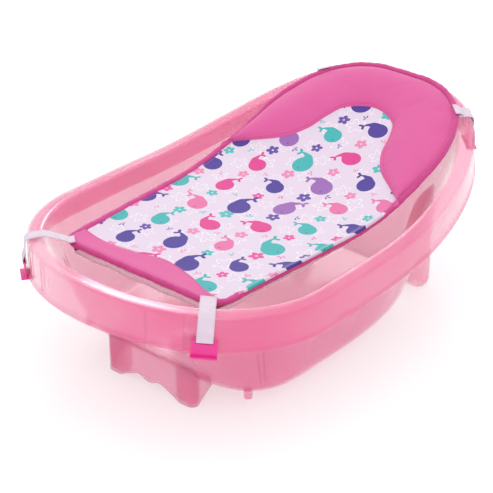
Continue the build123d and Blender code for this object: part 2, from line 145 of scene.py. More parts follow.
@dataclass(frozen=True)
class Finish:
    """A surface that is the same substance all over; its parts add the pattern.

    Attributes:
        name: Name of the material.
        slot: Slot of the record that it stands for; not used.
        colour: Main colour, sRGB hex.
        shade: Second colour, which a broad noise mixes in.
        roughness: Roughness of the shader.
        mottle: Size of the broad noise, in metres.
        bump: Height of the surface pattern, in metres.
    """

    name: str
    slot: str
    colour: str
    shade: str
    roughness: float = 0.5
    mottle: float = 0.05
    bump: float = 0.0001

    def constants(self) -> dict[str, Any]:
        """Shader values that are the same all over the surface."""
        return {"Roughness": self.roughness}

    def place(self, tree: Tree) -> Socket:
        """Coordinates that the pattern is drawn on, in metres."""
        return add_node(tree, "ShaderNodeTexCoord").outputs["Object"]

    def paint(self, tree: Tree, place: Socket) -> Node:
        """Colour of the surface: a broad noise between its two colours."""
        cloud = add_node(tree, "ShaderNodeTexNoise", named={
            "Vector": place, "Scale": 1 / self.mottle, "Detail": 3.0})
        return add_node(tree, "ShaderNodeMix", named={
            "Factor": cloud, "A": linear(self.colour), "B": linear(self.shade)}, data_type="RGBA")

    def relief(self, tree: Tree, place: Socket) -> Node:
        """Height pattern, from 0 to 1: a grain of about a millimetre."""
        return add_node(tree, "ShaderNodeTexNoise", named={
            "Vector": place, "Scale": GRAIN_PER_METRE, "Detail": 2.0})

    def material(self) -> bpy.types.Material:
        """Builds the material once.

        Returns:
            The Blender material.
        """
        found = bpy.data.materials.get(self.name)
        if found:
            return found
        made = bpy.data.materials.new(self.name)
        made.use_nodes = True
        tree = made.node_tree
        tree.nodes.clear()
        place = self.place(tree)
        paint = self.paint(tree, place)
        height = self.relief(tree, place)
        bump = add_node(tree, "ShaderNodeBump", named={"Strength": 1.0, "Distance": self.bump, "Height": height})
        shader = add_node(tree, "ShaderNodeBsdfPrincipled", named={
            "Base Color": paint, "Normal": bump, **self.constants()})
        add_node(tree, "ShaderNodeOutputMaterial", shader)
        return made


@dataclass(frozen=True)
class TubPlastic(Finish):
    """Translucent polypropylene, injection moulded: waxy gloss, light glows through the wall."""

    def constants(self) -> dict[str, Any]:
        """Glossy skin, some light through the wall and some scattered in it."""
        return {"Roughness": 0.14, "IOR": 1.49, "Alpha": 0.46, "Transmission Weight": 0.25,
                "Subsurface Weight": 0.5, "Subsurface Radius": (0.030, 0.014, 0.018), "Subsurface Scale": 1.0,
                "Coat Weight": 0.9, "Coat Roughness": 0.06}

    def relief(self, tree: Tree, place: Socket) -> Node:
        """Slow ripple where the wall sank as it cooled, 60 mm long."""
        return add_node(tree, "ShaderNodeTexNoise", named={
            "Vector": place, "Scale": RIPPLES_PER_METRE, "Detail": 1.0})


@dataclass(frozen=True)
class ClipPlastic(Finish):
    """ABS, injection moulded: even colour, a sharp soft highlight and a fine grain."""

    def constants(self) -> dict[str, Any]:
        """Semi-gloss opaque plastic."""
        return {"Roughness": self.roughness, "IOR": 1.54, "Coat Weight": 0.15}


@dataclass(frozen=True)
class WovenCloth(Finish):
    """Polyester cloth: a fine weave with a soft sheen at grazing angles.

    Attributes:
        thread: Spacing of the drawn threads. Real ones stand 0.4 mm apart, too fine to
            show, so they are drawn coarser.
        sheen: Weight of the fuzz.
    """

    thread: float = 0.0016
    sheen: float = 0.35

    def place(self, tree: Tree) -> Socket:
        """The flat cut of the piece, so that the threads follow the cloth."""
        return add_node(tree, "ShaderNodeUVMap", uv_map=CUT_MAP).outputs[0]

    def constants(self) -> dict[str, Any]:
        """Matt fibre with fuzz."""
        return {"Roughness": self.roughness, "Sheen Weight": self.sheen, "Sheen Roughness": 0.4,
                "Specular IOR Level": 0.25}

    def relief(self, tree: Tree, place: Socket) -> Node:
        """Warp and weft as two crossed waves."""
        threads = [self.cords(tree, place, 0.6, direction) for direction in ("X", "Y")]
        sides = [add_node(tree, "ShaderNodeSeparateColor", wave.outputs["Color"]) for wave in threads]
        return add_node(tree, "ShaderNodeMath", *sides, operation="MULTIPLY")

    def cords(self, tree: Tree, place: Socket, unevenness: float, direction: str) -> Node:
        """Waves a thread apart across one direction of the cloth."""
        scale = math.pi / (10 * self.thread)
        return add_node(tree, "ShaderNodeTexWave", named={
            "Vector": place, "Scale": scale, "Distortion": unevenness}, bands_direction=direction)


@dataclass(frozen=True)
class Webbing(WovenCloth):
    """Elastic webbing: pale woven tape with cords that run along it."""

    def relief(self, tree: Tree, place: Socket) -> Node:
        """Cords that run along the tape."""
        cords = self.cords(tree, place, 0.2, "Y")
        return add_node(tree, "ShaderNodeSeparateColor", cords.outputs["Color"])


@dataclass(frozen=True)
class NetCloth(WovenCloth):
    """Knitted net: greyish white with rows of small round holes.

    Attributes:
        hole_pitch: From one drawn hole to the next. Real ones stand 2 mm apart, too fine
            to show, so they are drawn coarser.
    """

    hole_pitch: float = 0.004

    def paint(self, tree: Tree, place: Socket) -> Node:
        """Darker round holes on the knit."""
        holes = add_node(tree, "ShaderNodeTexVoronoi", named={
            "Vector": place, "Scale": 1 / self.hole_pitch, "Randomness": 0.25})
        ring = add_node(tree, "ShaderNodeMapRange", holes.outputs["Distance"], 0.12, 0.34, 1.0, 0.0)
        return add_node(tree, "ShaderNodeMix", named={
            "Factor": ring, "A": linear(self.colour), "B": linear(self.shade)}, data_type="RGBA")


@dataclass(frozen=True)
class Ellipse:
    """One lobe of a printed motif, in millimetres from the motif's middle.

    Attributes:
        x: Place of its centre along the motif.
        y: Place of its centre across it.
        long: Half of its long side.
        short: Half of its short side.
        turn: Angle of the long side, in degrees.
    """

    x: float
    y: float
    long: float
    short: float
    turn: float = 0.0


class Motif(Enum):
    """Shapes printed on the seat cloth, each a union of ellipses."""

    WHALE = (
        Ellipse(-7.5, -4.0, 21.0, 18.8, 8), Ellipse(9.0, -6.0, 13.5, 8.4, 26), Ellipse(19.2, 2.4, 8.4, 3.9, 62),
        Ellipse(22.6, 10.6, 5.0, 2.2, 88), Ellipse(19.0, 17.0, 5.4, 2.8, -38), Ellipse(27.2, 17.0, 5.4, 2.8, 38),
    )
    FLOWER = tuple(Ellipse(7.4 * math.cos(a), 7.4 * math.sin(a), 5.4, 4.4, math.degrees(a))
                   for a in (0.3, 1.557, 2.813, 4.07, 5.327))
    SPROUT = (Ellipse(0.0, 3.4, 1.4, 3.4), Ellipse(-3.8, -0.8, 1.4, 3.4, 62), Ellipse(3.8, -0.8, 1.4, 3.4, -62))


@dataclass(frozen=True)
class PrintedCloth(WovenCloth):
    """Jersey with a sea print: lobed whales, flowers and sprouts on a pale ground.

    Attributes:
        across: Spacing of the whales along the cloth, in metres.
        down: Spacing of their rows, in metres.
        star_points: Points of a star outline.
        star_size: Its middle radius, in millimetres.
        star_depth: How far its points stand out, in millimetres.
        star_line: Half the width of its line, in millimetres.
        star_share: Size of a star's cell, as a share of a whale's.
        whale_turn: Least turn of a whale and how far it may go past it, in radians.
        eye_at: Place of the eye on a whale, in millimetres.
        eye_size: Radius of the eye, in millimetres.
        eye_colour: Ink of the eye, sRGB hex.
        whale_colours: Inks of the whales; one that stands twice is twice as common.
        small_colours: Inks of the flowers and sprouts.
    """

    across: float = 0.078
    down: float = 0.064
    star_points: float = 5.0
    star_size: float = 13.0
    star_depth: float = 4.6
    star_line: float = 0.9
    star_share: float = 0.62
    whale_turn: tuple[float, float] = (-1.4, 1.4)
    eye_at: Point = (-19.0, -1.0, 0.0)
    eye_size: float = 1.4
    eye_colour: str = "#3a2f6b"
    whale_colours: tuple[str, ...] = ("#4a3990", "#3fabab", "#d43f8a", "#da6f9f", "#4a3990", "#9564ab",
                                      "#3fabab", "#4a3990", "#d43f8a")
    small_colours: tuple[str, ...] = ("#d85096", "#4bb4b2", "#5f4b9c", "#de82ab")

    def union(self, tree: Tree, place: Any, motif: Motif, blend: float) -> Any:
        """Distance-like field of a motif: below one inside it.

        Args:
            tree: Tree that the nodes join.
            place: Coordinates in millimetres from the motif's middle.
            motif: Which shape.
            blend: How far the lobes melt into each other.

        Returns:
            The node that holds the field.
        """
        field_so_far = None
        for lobe in motif.value:
            turn = (0, 0, math.radians(lobe.turn))
            spot = add_node(tree, "ShaderNodeMapping", place, (lobe.x, lobe.y, 0), turn,
                            (lobe.long, lobe.short, 1), vector_type="TEXTURE")
            reach = add_node(tree, "ShaderNodeVectorMath", spot, operation="LENGTH").outputs["Value"]
            if field_so_far is None:
                field_so_far = reach
            else:
                field_so_far = add_node(tree, "ShaderNodeMath", field_so_far, reach, blend,
                                        operation="SMOOTH_MIN")
        return field_so_far

    def lattice(self, tree: Tree, place: Any, shift: Point, turn: tuple[float, float],
                smallest: float, share: float = 1.0) -> tuple[Node, Socket]:
        """Cuts the cloth into cells with every second row moved by half a cell.

        Args:
            tree: Tree that the nodes join.
            place: Flat coordinates of the cloth, in metres.
            shift: Where the lattice starts, in cells.
            turn: Least random turn of a motif and how far it may go past it, in radians.
            smallest: Smallest random size of a motif, as a share of the full one.
            share: Size of a cell, as a share of a whale's.

        Returns:
            Coordinates in millimetres from the middle of the cell's motif, which is mirrored
            in half of the cells, and a random number that picks its ink.
        """
        across, down = self.across * share, self.down * share
        cells = add_node(tree, "ShaderNodeVectorMath", place, (1 / across, 1 / down, 1), shift,
                         operation="MULTIPLY_ADD")
        parts = add_node(tree, "ShaderNodeSeparateXYZ", cells)
        row = add_node(tree, "ShaderNodeMath", parts.outputs["Y"], operation="FLOOR")
        odd = add_node(tree, "ShaderNodeMath", row, 2.0, operation="FLOORED_MODULO")
        column = add_node(tree, "ShaderNodeMath", odd, 0.5, parts.outputs["X"], operation="MULTIPLY_ADD")
        moved = add_node(tree, "ShaderNodeCombineXYZ", column, parts.outputs["Y"], 0.0)
        corner = add_node(tree, "ShaderNodeVectorMath", moved, operation="FLOOR")
        chance = add_node(tree, "ShaderNodeTexWhiteNoise", corner, noise_dimensions="2D").outputs["Color"]
        inside = add_node(tree, "ShaderNodeVectorMath", moved, operation="FRACTION")
        middle = add_node(tree, "ShaderNodeVectorMath", inside, (0.5, 0.5, 0), operation="SUBTRACT")
        spot = add_node(tree, "ShaderNodeVectorMath", middle, (across * 1000, down * 1000, 0),
                        operation="MULTIPLY")
        draws = add_node(tree, "ShaderNodeSeparateColor", chance)
        angle = add_node(tree, "ShaderNodeMath", draws.outputs["Red"], turn[1], turn[0],
                         operation="MULTIPLY_ADD")
        turned = add_node(tree, "ShaderNodeVectorRotate", spot, named={"Angle": angle}, rotation_type="Z_AXIS")
        size = add_node(tree, "ShaderNodeMapRange", draws.outputs["Green"], 0.0, 1.0, 1 / smallest, 1.0)
        many = add_node(tree, "ShaderNodeMath", draws.outputs["Green"], 8.0, operation="MULTIPLY")
        side = add_node(tree, "ShaderNodeMath", many, 1.0, operation="FLOORED_MODULO")
        side = add_node(tree, "ShaderNodeMath", side, 0.5, operation="GREATER_THAN")
        side = add_node(tree, "ShaderNodeMath", side, -2.0, 1.0, operation="MULTIPLY_ADD")
        tall = add_node(tree, "ShaderNodeMath", size, side, operation="MULTIPLY")
        factors = add_node(tree, "ShaderNodeCombineXYZ", size, tall, 1.0)
        scaled = add_node(tree, "ShaderNodeVectorMath", turned, factors, operation="MULTIPLY")
        return scaled, draws.outputs["Blue"]

    def choice(self, tree: Tree, chance: Any, colours: Sequence[str]) -> Node:
        """Picks one of several colours by a random number."""
        ramp = add_node(tree, "ShaderNodeValToRGB", chance)
        ramp.color_ramp.interpolation = "CONSTANT"
        steps = ramp.color_ramp.elements
        steps[1].position = 1 / len(colours)
        for n in range(2, len(colours)):
            steps.new(n / len(colours))
        for step, colour in zip(steps, colours):
            step.color = linear(colour)
        return ramp

    def paint(self, tree: Tree, place: Socket) -> Node:
        """Lays the motifs over the ground, from the back to the front."""
        full = (0.0, 2 * math.pi)
        spot, _ = self.lattice(tree, place, (0.3, 0.4, 0.0), full, 0.6, self.star_share)
        parts = add_node(tree, "ShaderNodeSeparateXYZ", spot)
        polar = add_node(tree, "ShaderNodeMath", parts.outputs["Y"], parts.outputs["X"], operation="ARCTAN2")
        points = add_node(tree, "ShaderNodeMath", polar, self.star_points, operation="MULTIPLY")
        wave = add_node(tree, "ShaderNodeMath", points, operation="COSINE")
        edge = add_node(tree, "ShaderNodeMath", wave, self.star_depth, self.star_size, operation="MULTIPLY_ADD")
        reach = add_node(tree, "ShaderNodeVectorMath", spot, operation="LENGTH").outputs["Value"]
        away = add_node(tree, "ShaderNodeMath", reach, edge, operation="SUBTRACT")
        away = add_node(tree, "ShaderNodeMath", away, operation="ABSOLUTE")
        stars = add_node(tree, "ShaderNodeMath", away, self.star_line, operation="LESS_THAN")
        picture = add_node(tree, "ShaderNodeMix", named={
            "Factor": stars, "A": linear(self.colour), "B": linear(self.shade)}, data_type="RGBA")
        layers = [
            (Motif.SPROUT, (0.25, 0.5, 0.0), full, 0.8, 0.05, self.small_colours),
            (Motif.FLOWER, (0.5, 0.0, 0.0), full, 0.75, 0.1, self.small_colours),
            (Motif.WHALE, (0.0, 0.0, 0.0), self.whale_turn, 0.76, 0.42, self.whale_colours),
        ]
        for motif, shift, turn, smallest, blend, colours in layers:
            spot, chance = self.lattice(tree, place, shift, turn, smallest)
            shape = self.union(tree, spot, motif, blend)
            mask = add_node(tree, "ShaderNodeMath", shape, 1.0, operation="LESS_THAN")
            ink = self.choice(tree, chance, colours)
            picture = add_node(tree, "ShaderNodeMix", named={
                "Factor": mask, "A": picture, "B": ink}, data_type="RGBA")
            if motif is Motif.WHALE:
                eye = add_node(tree, "ShaderNodeMapping", spot, self.eye_at, (0, 0, 0),
                               (self.eye_size, self.eye_size, 1), vector_type="TEXTURE")
                near = add_node(tree, "ShaderNodeVectorMath", eye, operation="LENGTH").outputs["Value"]
                dot = add_node(tree, "ShaderNodeMath", near, 1.0, operation="LESS_THAN")
                picture = add_node(tree, "ShaderNodeMix", named={
                    "Factor": dot, "A": picture, "B": linear(self.eye_colour)}, data_type="RGBA")
        return picture


# Polypropylene, moulded: two close pinks keep the wall even, and slow dents bend its highlights.
TUB_PLASTIC = TubPlastic("moulded_polypropylene_pink", "tub_plastic", "#f4699f", "#ec5c95",
                         mottle=0.3, bump=0.0015)
# Polyester jersey, printed: matt, with crisp motifs and white star outlines on pale lilac.
SEAT_PRINT = PrintedCloth("printed_polyester_jersey", "printed_cloth", "#d8c9da", "#efebf0",
                          0.75, bump=0.0001)
# Polyester knit, brushed: the softest pink, which pales where it turns away.
PINK_CLOTH = WovenCloth("brushed_polyester_pink", "pink_cloth", "#d85f9b", "#cf5794", 0.8, 0.06, 0.00012)
# Polyester tape, folded and sewn: a deeper pink, partly its own colour and partly painted shade along the
# sling's edge, so that the edge reads as a line.
BINDING_TAPE = WovenCloth("folded_polyester_tape_pink", "pink_binding", "#cf4a8d", "#bd3e81",
                          0.7, 0.03, 0.00015)
# Polyester, knitted as a net: greyish white, speckled by its holes.
NET = NetCloth("knitted_polyester_net", "net_cloth", "#f1eff2", "#bcb8bf", 0.8, bump=0.0003)
# Elastic, woven: pale lilac tape whose cords catch the light as fine lines.
WEBBING = Webbing("woven_elastic_webbing", "elastic_webbing", "#e2d3e1", "#d2bfd0", 0.65, 0.02, 0.0002)
# Polyester thread, twisted: a dotted line a shade lighter than the cloth it closes.
THREAD = Finish("polyester_sewing_thread", "pink_cloth", "#f06bb0", "#e85aa4", 0.6, 0.01, 0.00005)
PALE_THREAD = Finish("polyester_sewing_thread_pale", "elastic_webbing", "#efdfec", "#dcc6da",
                     0.6, 0.01, 0.00005)
# ABS, moulded: hot pink and opaque, with one soft highlight on each plate.
CLIP_PLASTIC = ClipPlastic("moulded_abs_hot_pink", "clip_plastic", "#e5278f", "#dd2288", 0.32, 0.02, 0.00005)
# Silicone rubber, moulded: duller than the tub and a little darker.
PLUG_RUBBER = ClipPlastic("moulded_silicone_rubber_pink", "plug_rubber", "#ea6fa6", "#e2669e",
                          0.5, 0.02, 0.0001)
# Steel wire, dipped in vinyl: smooth and off-white.
WIRE_COAT = ClipPlastic("vinyl_coated_steel_wire", "coated_wire", "#efeaee", "#e2dbe1", 0.35, 0.02, 0.00005)


@dataclass(frozen=True)
class FerruleSteel(Finish):
    """Mild steel tube, drawn and crimped: bare grey metal with a fine grain."""

    def constants(self) -> dict[str, Any]:
        """Brushed metal."""
        return {"Roughness": self.roughness, "Metallic": 1.0}


FERRULE_STEEL = FerruleSteel("drawn_steel_tube", "ferrule_steel", "#b9bbbf", "#9fa1a6", 0.3, 0.01, 0.00005)


# ---------------------------------------------------------------- meshes


def link_mesh(name: str, mesh: Mesh, finish: Finish, smooth_angle: float = 50.0) -> Piece:
    """Puts a mesh in the scene with its finish.

    Args:
        name: Name of the piece.
        mesh: Its mesh, in place.
        finish: What it is made of.
        smooth_angle: Edges sharper than this stay crisp, in degrees.

    Returns:
        The object, at the origin.
    """
    mesh.name = name
    piece = bpy.data.objects.new(name, mesh)
    bpy.context.scene.collection.objects.link(piece)
    mesh.materials.clear()
    mesh.materials.append(finish.material())
    mesh.polygons.foreach_set("use_smooth", [True] * len(mesh.polygons))
    mesh.set_sharp_from_angle(angle=math.radians(smooth_angle))
    return piece


def bake(piece: Piece) -> Piece:
    """Turns a piece's live modifiers into its plain mesh.

    Args:
        piece: The piece; its modifiers are removed.

    Returns:
        The same piece.
    """
    graph = bpy.context.evaluated_depsgraph_get()
    graph.update()
    made = bpy.data.meshes.new_from_object(
        piece.evaluated_get(graph), preserve_all_data_layers=True, depsgraph=graph)
    piece.modifiers.clear()
    piece.data = made
    return piece


def grid_mesh(rows: Sequence[Sequence[Any]], ring: bool = False,
              cut: Sequence[Sequence[Any]] | None = None) -> Mesh:
    """Mesh of quads between rows of points.

    Args:
        rows: Rows with the same number of points.
        ring: Whether each row closes on itself.
        cut: Flat coordinates of each point, in metres, kept as the UV map of the cut.

    Returns:
        The mesh.
    """
    height, width = len(rows), len(rows[0])
    points = [tuple(p) for row in rows for p in row]
    last = width if ring else width - 1
    faces = [
        (r * width + c, r * width + (c + 1) % width, (r + 1) * width + (c + 1) % width, (r + 1) * width + c)
        for r in range(height - 1)
        for c in range(last)
    ]
    mesh = bpy.data.meshes.new("grid")
    mesh.from_pydata(points, [], faces)
    if cut is not None:
        flat = [tuple(p) for row in cut for p in row]
        layer = mesh.uv_layers.new(name=CUT_MAP)
        for loop in mesh.loops:
            layer.data[loop.index].uv = flat[loop.vertex_index]
    mesh.update()
    return mesh


def tidy(mesh: Mesh, merge: float = 0.00002) -> Mesh:
    """Merges doubles and turns every face outwards."""
    shape = bmesh.new()
    shape.from_mesh(mesh)
    bmesh.ops.remove_doubles(shape, verts=shape.verts, dist=merge)
    bmesh.ops.recalc_face_normals(shape, faces=shape.faces)
    shape.to_mesh(mesh)
    shape.free()
    return mesh


def thicken(piece: Piece, wall: float, side: float) -> Piece:
    """Gives a sheet its thickness.

    Args:
        piece: A sheet whose faces point outwards.
        wall: Thickness, in metres.
        side: -1 to grow inwards, 1 outwards, 0 both ways.

    Returns:
        The piece with a plain mesh.
    """
    solid = piece.modifiers.new("thickness", "SOLIDIFY")
    solid.thickness = wall
    solid.offset = side
    solid.use_even_offset = True
    return bake(piece)


def tube_mesh(path: Sequence[Vector], radius: Callable[[float, float], float], sides: int,
              closed: bool) -> Mesh:
    """Round tube along a path, with its cut laid flat along it.

    Args:
        path: Points of the centre line.
        radius: Radius for a length along the path and an angle round it.
        sides: Faces round the tube.
        closed: Whether the path is a loop; an open one gets flat ends.

    Returns:
        The mesh.
    """
    count = len(path)
    rows, cut, length = [], [], 0.0
    steps = count + 1 if closed else count
    for n in range(steps):
        here, after = path[n % count], path[(n + 1) % count] if closed or n + 1 < count else path[n]
        before = path[(n - 1) % count] if closed or n else path[n]
        along = (after - before).normalized()
        side_way = along.cross(Vector((0, 0, 1))).normalized() if abs(along.z) < 0.99 else Vector((1, 0, 0))
        up = side_way.cross(along)
        ring, flat = [], []
        for s in range(sides + 1):
            angle = 2 * math.pi * s / sides
            reach = radius(length, angle)
            ring.append(here + reach * (math.cos(angle) * side_way + math.sin(angle) * up))
            flat.append((length, TUBE_CUT_PER_RADIAN * angle))
        rows.append(ring)
        cut.append(flat)
        length += (path[(n + 1) % count] - here).length if n + 1 < steps else 0
    if not closed:
        rows = [[path[0]] * (sides + 1), *rows, [path[-1]] * (sides + 1)]
        cut = [cut[0], *cut, cut[-1]]
    return tidy(grid_mesh(rows, cut=cut))


def stitch_tree(finish: Finish) -> Tree:
    """Geometry Nodes that sew a row of stitches along a line.

    Args:
        finish: The thread.

    Returns:
        The tree, with named inputs for the stitch's pitch, length and thread.
    """
    name = f"stitch_row_{finish.name}"
    if name in bpy.data.node_groups:
        return bpy.data.node_groups[name]
    tree = bpy.data.node_groups.new(name, "GeometryNodeTree")
    face = tree.interface
    face.new_socket("Geometry", in_out="INPUT", socket_type="NodeSocketGeometry")
    for label, size in (("Pitch", STITCH_PITCH), ("Stitch", STITCH_PITCH * STITCH_SHARE),
                        ("Thread", THREAD_RADIUS)):
        face.new_socket(label, in_out="INPUT", socket_type="NodeSocketFloat").default_value = size
    face.new_socket("Geometry", in_out="OUTPUT", socket_type="NodeSocketGeometry")
    given = add_node(tree, "NodeGroupInput")
    line = add_node(tree, "GeometryNodeMeshToCurve", given.outputs["Geometry"])
    even = add_node(tree, "GeometryNodeResampleCurve", named={"Curve": line, "Length": given.outputs["Pitch"]},
                    mode="LENGTH")
    thread = add_node(tree, "GeometryNodeMeshCylinder", named={
        "Vertices": 6, "Radius": given.outputs["Thread"], "Depth": given.outputs["Stitch"]})
    tangent = add_node(tree, "GeometryNodeInputTangent")
    turn = add_node(tree, "FunctionNodeAlignRotationToVector", named={"Vector": tangent}, axis="Z")
    sewn = add_node(tree, "GeometryNodeInstanceOnPoints", named={
        "Points": even, "Instance": thread.outputs["Mesh"], "Rotation": turn})
    real = add_node(tree, "GeometryNodeRealizeInstances", sewn)
    painted = add_node(tree, "GeometryNodeSetMaterial", real, named={"Material": finish.material()})
    add_node(tree, "NodeGroupOutput", painted)
    return tree


def stitches(name: str, lines: Sequence[Sequence[Vector]], finish: Finish,
             pitch: float = STITCH_PITCH) -> Piece:
    """Rows of stitches along lines on the cloth.

    Args:
        name: Name of the piece.
        lines: Lines that the stitches follow.
        finish: The thread.
        pitch: From one stitch to the next, in metres.

    Returns:
        One piece with every stitch as plain mesh.
    """
    points, edges = [], []
    for line in lines:
        start = len(points)
        points += [tuple(p) for p in line]
        edges += [(start + n, start + n + 1) for n in range(len(line) - 1)]
    mesh = bpy.data.meshes.new(name)
    mesh.from_pydata(points, edges, [])
    piece = bpy.data.objects.new(name, mesh)
    bpy.context.scene.collection.objects.link(piece)
    tree = stitch_tree(finish)
    sewing = piece.modifiers.new("sewing", "NODES")
    sewing.node_group = tree
    sizes = {s.name: s.identifier for s in tree.interface.items_tree if s.in_out == "INPUT"}
    sewing[sizes["Pitch"]] = pitch
    sewing[sizes["Stitch"]] = pitch * STITCH_SHARE
    bake(piece)
    piece.data.materials.clear()
    piece.data.materials.append(finish.material())
    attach(piece, TUB_BODY)
    return piece


def settle(piece: Piece, finish: Finish, *nodes: str, body: str = TUB_BODY) -> Piece:
    """Hangs a finished piece on the CAD body that it rides on, and hides the CAD nodes that it stands for.

    Args:
        piece: The finished piece.
        finish: What it is made of; not used.
        *nodes: CAD nodes that it replaces.
        body: CAD body that it rides on.

    Returns:
        The piece.
    """
    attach(piece, body)
    if nodes:
        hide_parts(*nodes)
    LOG.info("%s: %d faces", piece.name, len(piece.data.polygons))
    return piece


# ---------------------------------------------------------------- tub


@dataclass(frozen=True)
class Egg:
    """Egg outline seen from above: two half superellipses that meet where it is widest."""

    foot: float
    head: float
    half: float
    widest: float
    foot_power: float
    head_power: float

    def point(self, angle: float) -> np.ndarray:
        """Point of the outline at an angle, as x and y."""
        along, across = math.cos(angle), math.sin(angle)
        reach = self.head - self.widest if along > 0 else self.widest - self.foot
        power = self.head_power if along > 0 else self.foot_power
        x = self.widest + reach * math.copysign(abs(along) ** (2 / power), along)
        return np.array((x, self.half * math.copysign(abs(across) ** (2 / power), across)))


@dataclass
class Tub:
    """The moulded tub: bowl, rolled rim, skirt, the wall and legs that it stands on.

    The sizes are those of the CAD part, in metres. grooves are lengths along the rim from
    the foot end. bead is the rolled edge of the skirt, as heights over it and reaches out
    of the rim's outline. posts_at gives each kind of post its x, y, length, width and
    corner, and foot_edge rounds its bottom, as shares of the way in and heights.
    """

    half_length: float = 0.396
    half_width: float = 0.266
    rim: float = 0.220
    head_rise: float = 0.091
    foot_rise: float = 0.022
    widest: float = -0.167
    wall: float = 0.003
    flange: float = 0.022
    skirt: float = 0.053
    skirt_end: float = 0.010
    bowl_bottom: float = 0.038
    trim: float = 0.331
    foot_lean: float = 0.124
    head_lean: float = 0.134
    side_lean: float = 0.041
    floor_widest: float = -0.090
    corner: float = 0.024
    drain: float = -0.185
    drain_radius: float = 0.017
    shoulder_drop: float = 0.003
    angles: int = 288
    grooves: tuple[float, ...] = (0.108, 0.164)
    rib_starts: tuple[float, ...] = (124.0, 120.5)
    rib_top: float = 0.150
    rib_bottom: float = 0.066
    rib_slant: float = 2.0
    rib_radius: float = 0.0011
    roll: float = 0.007
    groove_press: float = 0.0014
    groove_half: float = 0.0016
    groove_steps: tuple[float, ...] = (-0.004, -0.0022, -0.0012, 0.0012, 0.0022, 0.004)
    floor_shares: tuple[float, ...] = (0, 0.02, 0.25, 0.5, 0.75, 0.97, 1)
    bead: Plan = ((0.0065, 0.0018), (0.0045, 0.0030), (0.0028, 0.0038), (0.001, 0.0040), (0.0, 0.0034))
    posts_at: tuple[tuple[str, float, float, float, float, float], ...] = (
        ("foot", -0.257, 0.070, 0.020, 0.038, 0.008), ("leg", 0.262, 0.126, 0.034, 0.042, 0.012))
    foot_edge: Plan = ((1.0, 0.0), (0.42, 0.0), (0.26, 0.0014), (0.11, 0.005), (0.03, 0.010), (0.0, 0.017))
    button: Plan = ((0, 0.033), (0.005, 0.0332), (0.0066, 0.0342), (0.007, 0.036), (0.007, 0.048), (0, 0.048))
    button_at: tuple[float, float] = (-0.228, 0.165)

    def rim_height(self, x: float) -> float:
        """Height of the rim at a place along the tub."""
        share = x / self.half_length
        return self.rim + (self.head_rise * share**2 if x > 0 else self.foot_rise * share**4)

    def skirt_depth(self, x: float) -> float:
        """How far the skirt hangs below the rim."""
        return self.skirt + self.skirt_end * (x / self.half_length) ** 2

    def outline(self) -> Egg:
        """Outline of the rim's shoulder."""
        return Egg(-self.half_length, self.half_length, self.half_width, self.widest, 2.0, 3.0)

    def section(self, height: float, inset: float) -> Egg:
        """Section of the bowl at a height."""
        lift = height - self.bowl_bottom
        spans = [self.rim_height(-self.half_length), self.rim_height(self.half_length), self.rim]
        foot_span, head_span, side_span = (s - self.bowl_bottom for s in spans)
        share = lift / head_span
        inner = self.half_length - self.flange
        return Egg(
            -inner + self.foot_lean * (1 - lift / foot_span) + inset,
            inner - self.head_lean * (1 - lift / head_span) - inset,
            self.half_width - self.flange - self.side_lean * (1 - lift / side_span) - inset,
            self.floor_widest + (self.widest - self.floor_widest) * share,
            4.0 - 2.0 * share,
            3.0,
        )

    def bowl_wall(self, angle: float, height: float, inset: float) -> np.ndarray:
        """Point of the bowl's wall, ruled straight from its floor to its top."""
        base = self.bowl_bottom + inset
        low = self.section(base, inset).point(angle)
        high = self.section(self.trim, inset).point(angle)
        return low + (high - low) * (height - base) / (self.trim - base)

    def outward(self, angle: float) -> np.ndarray:
        """Level direction straight out of the rim's outline."""
        before, after = self.outline().point(angle - 0.004), self.outline().point(angle + 0.004)
        way = after - before
        return np.array((way[1], -way[0])) / max(1e-9, float(np.hypot(*way)))

    @cached_property
    def rim_run(self) -> tuple[np.ndarray, np.ndarray]:
        """Fine angles round the rim, and the length along it up to each."""
        fine = np.linspace(0, 2 * math.pi, 4001)
        line = np.array([self.outline().point(a + 1e-6) for a in fine])
        return fine, np.concatenate([[0], np.cumsum(np.hypot(*np.diff(line, axis=0).T))])

    def even_angles(self) -> list[float]:
        """Angles that step evenly along the rim, with close ones at the skirt's grooves."""
        fine, run = self.rim_run
        wanted = list(np.linspace(0, run[-1], self.angles, endpoint=False))
        foot_end = float(np.interp(math.pi, fine, run))
        clear = 1.5 * self.groove_steps[-1]
        for groove in self.grooves:
            for side in (-1, 1):
                middle = foot_end + side * groove
                wanted = [w for w in wanted if abs(w - middle) > clear]
                wanted += [middle + d for d in self.groove_steps]
        return [float(np.interp(w, run, fine)) for w in sorted(wanted)]

    def groove_depth(self, angle: float) -> float:
        """How far the skirt is pressed in where a groove runs down it."""
        fine, run = self.rim_run
        place = abs(float(np.interp(angle, fine, run)) - float(np.interp(math.pi, fine, run)))
        return self.groove_press if any(abs(place - g) < self.groove_half for g in self.grooves) else 0.0

